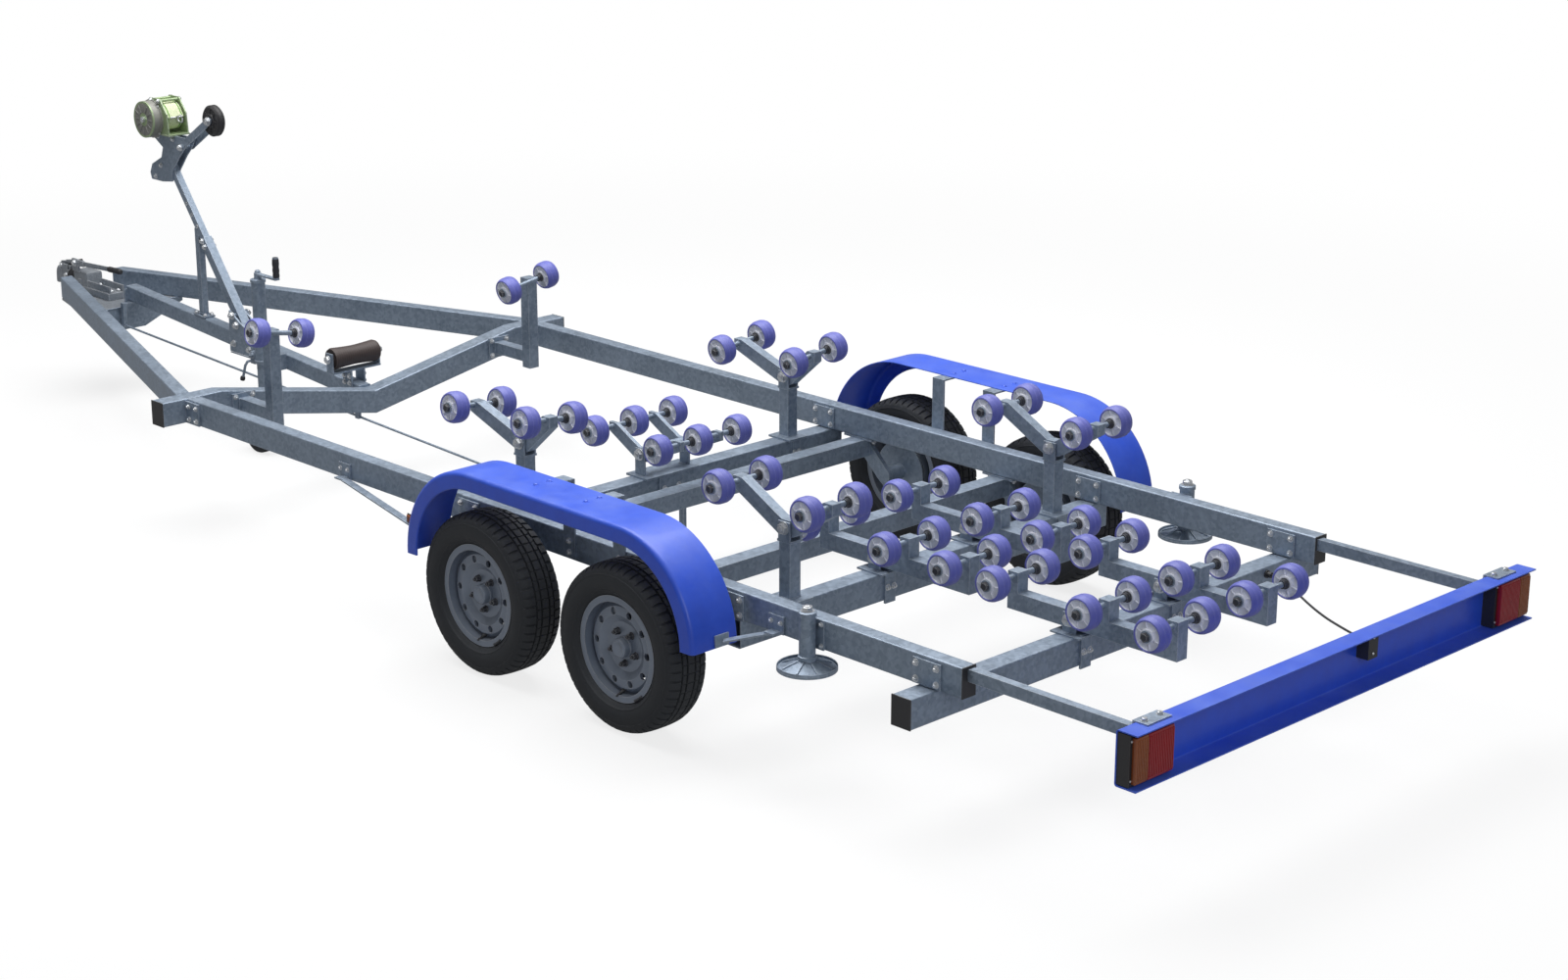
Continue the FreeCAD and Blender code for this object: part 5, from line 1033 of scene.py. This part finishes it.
section = bar_face(0.0) + bar_face(BAR_SHEET)[::-1]
build = bmesh.new()
skin(build, [[Vector((x, across, z)) for x, z in section]
             for across in (-BAR_HALF, -0.9, -0.45, 0.0, 0.45, 0.9, BAR_HALF)])
new_piece("light_bar_sheet", build, "chassis", [blue_coat], ["light_bar"], sharp=30.0)
print("Light bar section points:", len(section))

# %% Fit the lenses and the lamp screws
LENS_BACK = -3.749
LENS_FRONT = -3.7315
LENS_MIDDLE_Z = 0.4865
LENS_TALL = 0.141
RIB_DEPTH = 0.003
RIB_PITCH = 0.0075
LAMP_SCREW = mm((4, 0), (4, 1.5), (2.8, 3), (0, 3.2))
PLATE_SCREW = mm((4.5, 0), (4.5, 1.5), (3, 3.2), (0, 3.4))

build = bmesh.new()
for side, sign in SIDES:
    for material, start, stop in ((0, 0.849, 0.962), (1, 0.964, 1.021)):
        wide = stop - start
        plate(build, (LENS_FRONT - LENS_BACK - RIB_DEPTH, wide, LENS_TALL),
              ((LENS_BACK + RIB_DEPTH + LENS_FRONT) / 2, sign * (start + stop) / 2, LENS_MIDDLE_Z),
              material, 0.003)
        count = round(wide / RIB_PITCH)
        for index in range(count):
            across = start + wide * (index + 0.5) / count
            plate(build, (0.005, 0.0048, LENS_TALL - 0.014),
                  (LENS_BACK + RIB_DEPTH, sign * across, LENS_MIDDLE_Z), material, 0.0018)
new_piece("lamp_prisms", build, "chassis", [lens_red, lens_amber], ["lamp_lenses"])

build = bmesh.new()
for side, sign in SIDES:
    for across in (0.8465, 1.0235):
        for high in (0.4265, 0.5465):
            turned(build, LAMP_SCREW, ((LENS_FRONT, sign * across, high), (-1, 0, 0)), 16)
    for across in (0.865, 0.935):
        bolt(build, (-3.704, sign * across, 0.578), UP)
        bolt(build, (-3.6765, sign * across, 0.56), (1, 0, 0), 0.008, 0.004)
for high in (0.5, 0.552):
    turned(build, PLATE_SCREW, ((-3.7295, -0.155, high), (-1, 0, 0)), 16)
new_piece("light_bar_bolts", build, "chassis", [plated])
print("Lens height:", LENS_TALL, "m")

# %% [markdown]
# ## Side reflectors
#
# A small amber reflector stands on each front mudguard stay, on its own plate, facing outwards. It
# is ribbed like the lamps.

# %% Fit the side reflectors
build = bmesh.new()
for side, sign in SIDES:
    lean = shift((-0.43, sign * 1.03, 0.424)) @ spin(-sign * 0.14)
    plate(build, (0.094, 0.004, 0.038), lean @ shift((0, -sign * 0.004, 0)), 1, 0.001)
    plate(build, (0.086, 0.006, 0.03), lean, 0, 0.002)
    for index in range(-6, 7):
        rib = lean @ shift((0.0062 * index, sign * 0.0035, 0))
        plate(build, (0.004, 0.003, 0.026), rib, 0, 0.001)
new_piece("side_reflectors", build, "chassis", [lens_amber, black_plastic])
print("Side reflectors:", len(SIDES))

# %% [markdown]
# ## Winch
#
# The winch stands on the leaning post. Its strap is a flat woven band, wound up in layers that show
# at the sides as a fine spiral, with a snap hook sewn to its end. The gears run under a grey cover
# with a rim, a boss and cooling ribs, and the crank has a black grip.

# %% Wind the strap
DRUM = Vector((2.702, 0.0, 1.385))
CORE = 0.0185
STRAP_HALF = 0.0395
LAYER = 0.0027
TURNS = 16.4
STEPS_A_TURN = 30
BAND = 0.002


def strap_line():
    """The band's middle line as (ahead, up) from the drum's axle, from inside to the sewn end."""
    steps = int(TURNS * STEPS_A_TURN)
    line = [around(CORE + LAYER * step / STEPS_A_TURN, math.tau * step / STEPS_A_TURN).xy
            for step in range(steps + 1)]
    end = math.tau * steps / STEPS_A_TURN
    away = Vector((-math.sin(end), math.cos(end)))
    last = line[-1]
    for reach in (0.008, 0.018, 0.03, 0.042):
        line.append(last + away * reach + Vector((0.0, -9.0 * reach * reach)))
    return line


build = bmesh.new()
line = strap_line()
rows = []
for index, middle in enumerate(line):
    along = (line[min(index + 1, len(line) - 1)] - line[max(index - 1, 0)]).normalized()
    outward = Vector((along.y, 0.0, -along.x)) * (BAND / 2)
    rows.append([DRUM + Vector((middle.x, across, middle.y)) + outward * side * swell
                 for side, order in ((1, (-1, 0, 1)), (-1, (1, 0, -1)))
                 for across, swell in ((STRAP_HALF * share, 1.0 if share else 1.25)
                                       for share in order)])
skin(build, rows)
new_piece("winch_strap_roll", build, "chassis", [webbing], ["winch_strap"], sharp=50.0)
strap_end = DRUM + Vector((line[-1].x, 0.0, line[-1].y))
print("Strap turns:", TURNS, "end:", [round(v, 3) for v in strap_end])

# %% Add the gear cover, the ratchet and the hook
COVER = mm((0, 0), (87.2, 0), (87.2, 6.5), (82.8, 8), (82.2, 40), (79, 45.2), (72, 47.4),
           (30, 47.4), (28, 44), (0, 44))
CRANK_GRIP = mm((14.2, 0), (15.6, 2), (16.6, 10), (15.2, 16), (16.8, 26), (15.2, 36), (17, 48),
                (15.2, 58), (17, 70), (15.8, 84), (17.5, 90), (16.8, 96), (10, 99), (0, 99.2))
TOOTH = ((0.0, 0.0195), (0.75, 0.0245), (0.98, 0.025))
TEETH = 14
LEFT, RIGHT = (0, 1, 0), (0, -1, 0)

build = bmesh.new()
cover = facing_along((2.738, 0.053, 1.375), LEFT)
turned(build, COVER, cover, 56)
ribs(build, 12, (0.034, 0.0045, 0.004), cover, (0.052, 0, 0.0484))
for step in range(4):
    bolt(build, cover @ around(0.0845, math.tau * (step + 0.5) / 4, 0.0062), LEFT, 0.006, 0.0, 1)
bolt(build, cover @ Vector((0, 0, 0.044)), LEFT, 0.016, 0.003, 1)
turned(build, CRANK_GRIP, ((2.858, -0.0735, 1.2265), RIGHT), 28, 2)
bolt(build, (2.774, -0.084, 1.339), RIGHT, 0.014, 0.002, 1)
bolt(build, DRUM + Vector((0, -0.062, 0)), RIGHT, 0.018, 0.002, 1)
for ahead in (0.04, -0.02):
    for flip in BOTH:
        bolt(build, DRUM + Vector((ahead, flip * 0.0535, 0.074)), (0, flip, 0), 0.01, 0.002, 1)
ratchet = facing_along((2.774, -0.0555, 1.339), RIGHT)
skin(build, [[ratchet @ around(radius, math.tau * (step + share) / TEETH, high)
              for step in range(TEETH) for share, radius in TOOTH] for high in (0.0, 0.008)], 1)
new_piece("winch_trim", build, "chassis", [gear_grey, plated, black_plastic])


def from_end(*places):
    """Places given from the strap's sewn end."""
    return [strap_end + Vector(place) for place in places]


build = bmesh.new()
swept(build, from_end(*((0, across, 0) for across in (-0.03, -0.015, 0.0, 0.015, 0.03))), 0.0035)
bend = [around(1, math.radians(70 - 20 * step)) for step in range(1, 15)]
swept(build, from_end((-0.002, 0, 0), (-0.014, 0, 0.006), *(
    (-0.034 + 0.019 * spot.x, 0, -0.004 + 0.015 * spot.y) for spot in bend)), 0.004)
swept(build, from_end((-0.024, 0, 0.01), (-0.04, 0, 0.0165), (-0.054, 0, 0.01)), 0.0022, 8)
new_piece("strap_hook", build, "chassis", [plated])
print("Winch dressed")

# %% [markdown]
# ## Coupling
#
# The coupling is cast and pressed iron on a plate across the drawbar: a housing with the shaft, a
# rubber gaiter, a head with a socket for the ball, a release lever and the hand brake. Each part is
# its own softened form, so that the outline reads as a casting and not as blocks.

# %% Draw the coupling's turned parts
COUPLING_Z = 0.496
BALL = (3.7135, 0, COUPLING_Z)
FOLD_PITCH = 0.0095
BELLOWS_FOLD = mm((30, 0.5), (38.8, 4), (38.8, 5.8), (31, 9))
BELLOWS = [(0.027, 0.0), *((radius, FOLD_PITCH * fold + height) for fold in range(7)
                           for radius, height in BELLOWS_FOLD), (0.027, 0.067)]
CUP = mm((25.3, -42), (38.4, -42), (38.9, -36), (38.5, -12), (37.8, 6), (35.5, 20), (30, 32),
         (20, 39), (0, 41))
CUP_INSIDE = mm((25.3, -42), (25.3, -4), (18, 12), (0, 18))
COLLAR = mm((33, 0), (34.5, 3), (34.5, 12), (33, 15))
BRAKE_GRIP = mm((10, 0), (13.2, 3), (13.8, 12), (12.6, 18), (14, 28), (12.6, 38), (14, 50),
                (12.6, 62), (14, 76), (13.5, 92), (12.8, 104), (8, 109), (0, 109.2))
build = bmesh.new()
for outline, stand, segments, material in (
        (mm((25, 0), (25, 160)), ((3.54, 0, COUPLING_Z), (1, 0, 0)), 36, 0),
        (COLLAR, ((3.555, 0, COUPLING_Z), (1, 0, 0)), 36, 0),
        (BELLOWS, ((3.56, 0, COUPLING_Z), (1, 0, 0)), 40, 1),
        (CUP, BALL, 44, 0),
        (CUP_INSIDE, BALL, 44, 0),
        (BRAKE_GRIP, ((3.218, 0.0477, 0.5987), (-0.9985, 0.018, 0.045)), 24, 1)):
    turned(build, outline, stand, segments, material)
print("Gaiter outline points:", len(BELLOWS))


# %% Add its plates, levers and bolts
def bar(build, start, end, wide, tall, soften, spare=0.0):
    """A flat bar between two places, shorter than they are apart by what is spared."""
    start, end = Vector(start), Vector(end)
    along = (end - start).normalized()
    across = Vector(UP).cross(along).normalized()
    turn = Matrix((along, across, along.cross(across))).transposed().to_4x4()
    size = ((end - start).length - spare, wide, tall)
    plate(build, size, shift((start + end) / 2) @ turn, 0, soften)


skin(build, [[Vector((x, y, z)) for x, y in ((3.1038, -0.263), (3.4535, -0.172), (3.4535, 0.172),
                                            (3.1038, 0.263))] for z in (0.43, 0.4396)])
for size, place, soften in (
        ((0.32, 0.096, 0.034), (3.3985, 0, 0.4568), 0.006),
        ((0.3, 0.008, 0.052), (3.39, 0.036, 0.48), 0.003),
        ((0.3, 0.008, 0.052), (3.39, -0.036, 0.48), 0.003),
        ((0.125, 0.088, 0.104), (3.496, 0, 0.4917), 0.014),
        ((0.03, 0.1, 0.03), (3.496, 0, 0.4917), 0.006),
        ((0.096, 0.058, 0.062), (3.666, 0, COUPLING_Z), 0.018),
        ((0.098, 0.044, 0.022), (3.669, 0, 0.535), 0.008),
        ((0.07, 0.005, 0.034), (3.672, 0.0265, 0.533), 0.004),
        ((0.07, 0.005, 0.034), (3.672, -0.0265, 0.533), 0.004),
        ((0.056, 0.012, 0.062), (3.5285, 0.042, 0.568), 0.005)):
    plate(build, size, place, 0, soften)
lever_start, lever_end = Vector((3.722, 0, 0.544)), Vector((3.562, 0, 0.571))
bar(build, lever_end, lever_start, 0.03, 0.01, 0.004)
swept(build, [lever_end + Vector((0.006, across, 0.004)) for across in (-0.016, 0.0, 0.016)],
      0.0085, 14, 1)
brake_start, brake_end = Vector((3.5285, 0.042, 0.5797)), Vector((3.1985, 0.048, 0.5997))
bar(build, brake_end, brake_start, 0.008, 0.022, 0.003)
near = brake_start + (brake_end - brake_start) * 0.2
bar(build, near, brake_start, 0.014, 0.03, 0.004, (near - brake_start).length - 0.09)
bolt(build, (3.5285, 0.048, 0.5797), LEFT, 0.014, 0.003, 2)
bolt(build, (3.5285, 0.036, 0.5797), RIGHT, 0.014, 0.0, 2)
for flip in BOTH:
    rim_shift = Vector((0, flip * 0.013, 0.004))
    bar(build, lever_end + rim_shift, lever_start + rim_shift, 0.004, 0.014, 0.0015, 0.02)
    bolt(build, (3.65, flip * 0.0285, COUPLING_Z), (0, flip, 0), 0.012, 0.003, 2)
    bolt(build, (3.69, flip * 0.0285, 0.54), (0, flip, 0), 0.008, 0.002, 2)
    for x, y in ((3.135, 0.225), (3.26, 0.195), (3.42, 0.15)):
        bolt(build, (x, flip * y, 0.43), (0, 0, -1), 0.012, 0.005, 2)
    for x in (3.26, 3.42):
        bolt(build, (x, flip * 0.018, 0.4738), UP, 0.012, 0.004, 2)
new_piece("coupling_casting", build, "chassis", [cast_zinc, black_plastic, plated],
          ["coupling_head"], sharp=35.0)
print("Coupling built")

# %% [markdown]
# ## Jockey wheel
#
# The wheel has a solid black tyre on a pressed rim. Its leg is held by a split clamp with a handle,
# and wound by a crank with a black grip.

# %% Build the jockey wheel and its handles
RIM = mm((8.2, 32), (19, 32), (20, 30.8), (20, 13), (30, 11), (54, 11), (60, 14), (64, 21.2),
         (66.8, 22.2))
SOLID_TYRE = mm((66.6, 21.8), (70, 23.8), (85, 25), (91.5, 24.2), (97, 20.5), (99.8, 13),
                (98.4, 10.8), (98.4, 7.4), (99.8, 5.6), (99.8, 0))
build = bmesh.new()
stand = facing_along(pivot("jockey_spin"), LEFT)
turned(build, mirrored(SOLID_TYRE), stand, 44, 1)
for flip in BOTH:
    turned(build, flipped(RIM, flip), stand, 44, 0)
    ribs(build, 5, (0.034, 0.005, 0.006), stand, (0.037, 0, flip * 0.0135))
new_piece("jockey_rim_and_tyre", build, "jockey_roller", [hub_nylon, tyre_rubber],
          ["jockey_wheel"])

build = bmesh.new()
for flip in BOTH:
    bolt(build, pivot("jockey_spin") + Vector((0, flip * 0.0392, 0)), (0, flip, 0), 0.014, 0.003)
new_piece("jockey_axle_nuts", build, "jockey_caster", [plated])

SLEEVE_RING = mm((30, 0), (34.5, 0), (34.5, 10), (30, 12))
SLEEVE_CAP = mm((30, -12), (34, -10), (34, 1.5), (20, 4), (16.5, 4))
JOCKEY_GRIP = mm((9, 0), (14.2, 2), (15.2, 12), (13.8, 20), (15.4, 34), (13.8, 48), (15.5, 62),
                 (14.6, 80), (11, 90), (0, 91.5))
HANDLE_KNOB = mm((5.5, 0), (10, 4), (11.5, 12), (10, 20), (0, 24))
LEG_PLACE = Vector((1.8545, 0.125, 0.0))
CLAMP_Z = 0.437


def by_leg(ahead, left, high):
    """A place given from the foot of the leg's axis."""
    return LEG_PLACE + Vector((ahead, left, high))


build = bmesh.new()
turned(build, SLEEVE_RING, by_leg(0, 0, 0.42), 36)
turned(build, SLEEVE_CAP, by_leg(0, 0, 0.79), 36)
turned(build, JOCKEY_GRIP, by_leg(-0.142, 0, 0.82), 24, 1)
bolt(build, by_leg(0, 0, 0.818), UP, 0.014, 0.003)
plate(build, (0.036, 0.03, 0.056), by_leg(0.036, 0.012, CLAMP_Z), 0, 0.004)
bolt(build, by_leg(0.036, 0.027, CLAMP_Z + 0.012), LEFT, 0.012, 0.006)
swept(build, [by_leg(0.036, 0.034, CLAMP_Z - 0.012), by_leg(0.036, 0.052, CLAMP_Z - 0.012),
              by_leg(0.044, 0.06, CLAMP_Z - 0.03), by_leg(0.06, 0.064, CLAMP_Z - 0.085)], 0.006, 12)
turned(build, HANDLE_KNOB, (by_leg(0.06, 0.064, CLAMP_Z - 0.08), (0.26, 0.06, -0.96)), 18, 1)
new_piece("jockey_clamp_parts", build, "chassis", [galvanised, black_plastic])
print("Jockey wheel dressed")

# %% [markdown]
# ## Steadies
#
# Each steady is a screw with a round foot. The foot is pressed, with a turned-up rim and ribs
# up its cone. Its tube has a nut on top and is bolted to the rail through a plate.

# %% Dress the steadies
PAD_Z = 0.375
TUBE_Y = 0.961
FOOT_RIM = mm((96.5, 8), (97.8, 2), (97.8, 13.5), (96.5, 15.5), (94.5, 13.5), (94.5, 8))
FOOT_COLLAR = mm((20, 30), (28.5, 30), (28.5, 36.5), (24, 41), (20, 41))
TUBE_CAP = mm((27, -14), (30, -12), (30, 1), (27, 3.5), (12, 3.5))
TUBE_RING = mm((27.2, 0), (30.5, 1), (30.5, 10), (27.2, 12))
tubes = bmesh.new()
for side, sign in SIDES:
    low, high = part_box(f"steady_pad_{side}")
    x, y = (low.x + high.x) / 2, (low.y + high.y) / 2
    stand = shift((x, y, PAD_Z))
    build = bmesh.new()
    turned(build, FOOT_RIM, stand, 56)
    slope = shift((0.058, 0, 0.02)) @ spin(0.35, "Y")
    ribs(build, 8, (0.056, 0.0045, 0.006), stand, slope, start=0.5)
    turned(build, FOOT_COLLAR, stand)
    new_piece(f"steady_foot_{side}", build, f"steady_{side}", [galvanised])
    turned(tubes, TUBE_CAP, (x, sign * TUBE_Y, 0.566))
    bolt(tubes, (x, sign * TUBE_Y, 0.568), UP, 0.02, 0.003, 1)
    turned(tubes, TUBE_RING, (x, sign * TUBE_Y, 0.4102))
    for ahead in (-0.035, 0.035):
        for up in (-0.036, 0.036):
            bolt(tubes, (x + ahead, sign * 0.934, 0.49 + up), (0, sign, 0), 0.008, 0.003, 1)
new_piece("steady_tube_parts", tubes, "chassis", [galvanised, plated])
print("Steadies dressed")

# %% [markdown]
# ## Post hardware and frame fixings
#
# The winch post is bolted between its cheeks, and its inner tube has a row of setting holes, shown
# here by their raised rims. Plates with four bolts join the rails to the cross members, and nuts
# sit under the axle plates. All of it repeats, so loops place it.

# %% Bolt the winch post
POST_FOOT = Vector((2.1425, 0.0, 0.46873))
POST_ALONG = Vector((0.61429, 0.0, 0.78908))
SPINE_SLOPE = 0.071
SETTING_HOLE = mm((5.2, 0.6), (9, 0.6), (8.2, 1.6), (5.6, 1.6), (5.2, -4), (0, -4))
# Bolts on both faces: ahead, height, half of the width there, thread and stud
FACE_BOLTS = (
    (2.5592, 1.2625, 0.0306, 0.014, 0.004), (2.322, 1.41, 0.0306, 0.018, 0.003),
    (2.742, 1.156, 0.022, 0.01, 0.003), (2.79, 1.1, 0.022, 0.01, 0.003),
    (2.63, 1.29, 0.022, 0.01, 0.003), (2.75, 1.29, 0.022, 0.01, 0.003),
    (2.0825, 0.42 - 0.06 * SPINE_SLOPE, 0.0385, 0.014, 0.005),
    (2.2025, 0.42 + 0.06 * SPINE_SLOPE, 0.0385, 0.014, 0.005),
)
build = bmesh.new()
for flip in BOTH:
    for reaches, half, thread, stud in (((0.055, 0.105), 0.0385, 0.016, 0.006),
                                        ((0.455, 0.485), 0.021, 0.012, 0.004)):
        for reach in reaches:
            bolt(build, POST_FOOT + POST_ALONG * reach + Vector((0, flip * half, 0)), (0, flip, 0),
                 thread, stud)
    for reach in (0.56, 0.62, 0.68):
        hole = POST_FOOT + POST_ALONG * reach + Vector((0, flip * 0.016, 0))
        turned(build, SETTING_HOLE, (hole, (0, flip, 0)), 20)
    for x, z, half, thread, stud in FACE_BOLTS:
        bolt(build, (x, flip * half, z), (0, flip, 0), thread, stud)
    for ahead in (-0.034, 0.034):
        bolt(build, (2.4945 + ahead, flip * 0.017, 0.5035 + SPINE_SLOPE * ahead),
             (-SPINE_SLOPE, 0, 1), 0.01, 0.003)
new_piece("post_bolts", build, "chassis", [plated])
print("Post bolts placed")

# %% Bolt the frame together
RAIL_MIDDLE = 0.898
RAIL_HALF = 0.03
RAIL_MIDDLE_Z = 0.486
JOINT_SHEET = 0.006
CROSS_PLACES = (-0.6315, -2.0015, -2.8655)


def grid_of_bolts(build, place, aheads, ups, axis, thread=0.01, stud=0.003, across=False):
    """Bolts in rows and columns on an upright face, their columns set ahead or across."""
    x, y, z = place
    for ahead in aheads:
        for up in ups:
            spot = (x, y + ahead, z + up) if across else (x + ahead, y, z + up)
            bolt(build, spot, axis, thread, stud)


build = bmesh.new()
for side, sign in SIDES:
    out = (0, sign, 0)
    for place in CROSS_PLACES:
        for outward in BOTH:
            face = RAIL_MIDDLE + outward * RAIL_HALF
            middle = sign * (face + outward * JOINT_SHEET / 2)
            plate(build, (0.116, JOINT_SHEET, 0.084), (place, middle, RAIL_MIDDLE_Z), 1)
            grid_of_bolts(build, (place, sign * (face + outward * JOINT_SHEET), RAIL_MIDDLE_Z),
                          (-0.042, 0.042), (-0.026, 0.026), (0, sign * outward, 0), stud=0.004)
    grid_of_bolts(build, (1.15, sign * 0.9363, RAIL_MIDDLE_Z), (-0.032, 0.02), (-0.026, 0.026), out,
                  stud=0.004)
    for foot_x in (0.1185, -2.2115):
        grid_of_bolts(build, (foot_x, sign * 0.9343, 0.482), (-0.022, 0.022), (0,), out, 0.008)
    grid_of_bolts(build, (GUARD_MIDDLE, sign * 0.934, 0.49), (-0.13, 0.13), (-0.02, 0.02), out)
    for beam_x in (-0.819, -1.556):
        grid_of_bolts(build, (beam_x, sign * RAIL_MIDDLE, 0.432), (-0.058, 0.058), (0,), (0, 0, -1),
                      0.012, 0.006)
    grid_of_bolts(build, (1.1852, sign * 0.664, 0.4719), (-0.04, 0.04), (-0.032, 0.032), (-1, 0, 0),
                  across=True)
    for across in (0.128, 0.19):
        bolt(build, (3.1042, sign * across, 0.412), (1, 0, 0), 0.01, 0.003)
    bolt(build, (1.3485, sign * 0.13, 0.526), out, 0.016, 0.003)
    grid_of_bolts(build, (1.3485, sign * 0.0363, 0.425), (-0.018, 0.018), (-0.015, 0.015), out)
new_piece("frame_bolts", build, "chassis", [plated, galvanised])
print("Frame bolts placed")

# %% [markdown]
# ## Weld beads
#
# A weld is a row of small overlapping ripples. A rod whose radius rises and falls as it goes gives
# the look, half sunk in the corner between the two parts.

# %% Lay the weld beads
BEAD_SIZE = 0.0035
COLUMN_Y = 0.666
COLUMN_HALF = 0.025
WELD_Z = 0.4485


def bead(build, start, end):
    """A rippled rod between two places."""
    start, end = Vector(start), Vector(end)
    count = max(4, round((end - start).length / BEAD_SIZE))
    path = [start.lerp(end, step / count) for step in range(count + 1)]
    radii = [BEAD_SIZE * (0.72 + 0.28 * (step % 2)) for step in range(count + 1)]
    swept(build, path, BEAD_SIZE, 8, 0, radii)


build = bmesh.new()
for side, sign in SIDES:
    for x in CROSS_PLACES[:2]:
        y = sign * COLUMN_Y
        for half in (-COLUMN_HALF, COLUMN_HALF):
            bead(build, (x - COLUMN_HALF, y + half, WELD_Z), (x + COLUMN_HALF, y + half, WELD_Z))
            bead(build, (x + half, y - COLUMN_HALF, WELD_Z), (x + half, y + COLUMN_HALF, WELD_Z))
    # The two ends of each bead, as (x, distance from the middle, z)
    for start, end in (((1.274, 0.9275, 0.448), (1.274, 0.9275, 0.532)),
                       ((1.274, 0.865, 0.448), (1.274, 0.865, 0.532)),
                       ((3.095, 0.046, 0.439), (3.095, 0.25, 0.439)),
                       ((2.052, 0.0385, 0.38), (2.23, 0.0385, 0.38)),
                       ((2.48, 0.015, 0.506), (2.509, 0.015, 0.508)),
                       ((1.183, 0.689, 0.448), (1.183, 0.689, 0.496)),
                       ((1.183, 0.639, 0.448), (1.183, 0.639, 0.496))):
        bead(build, *((x, sign * y, z) for x, y, z in (start, end)))
new_piece("weld_beads", build, "chassis", [galvanised], sharp=180.0)
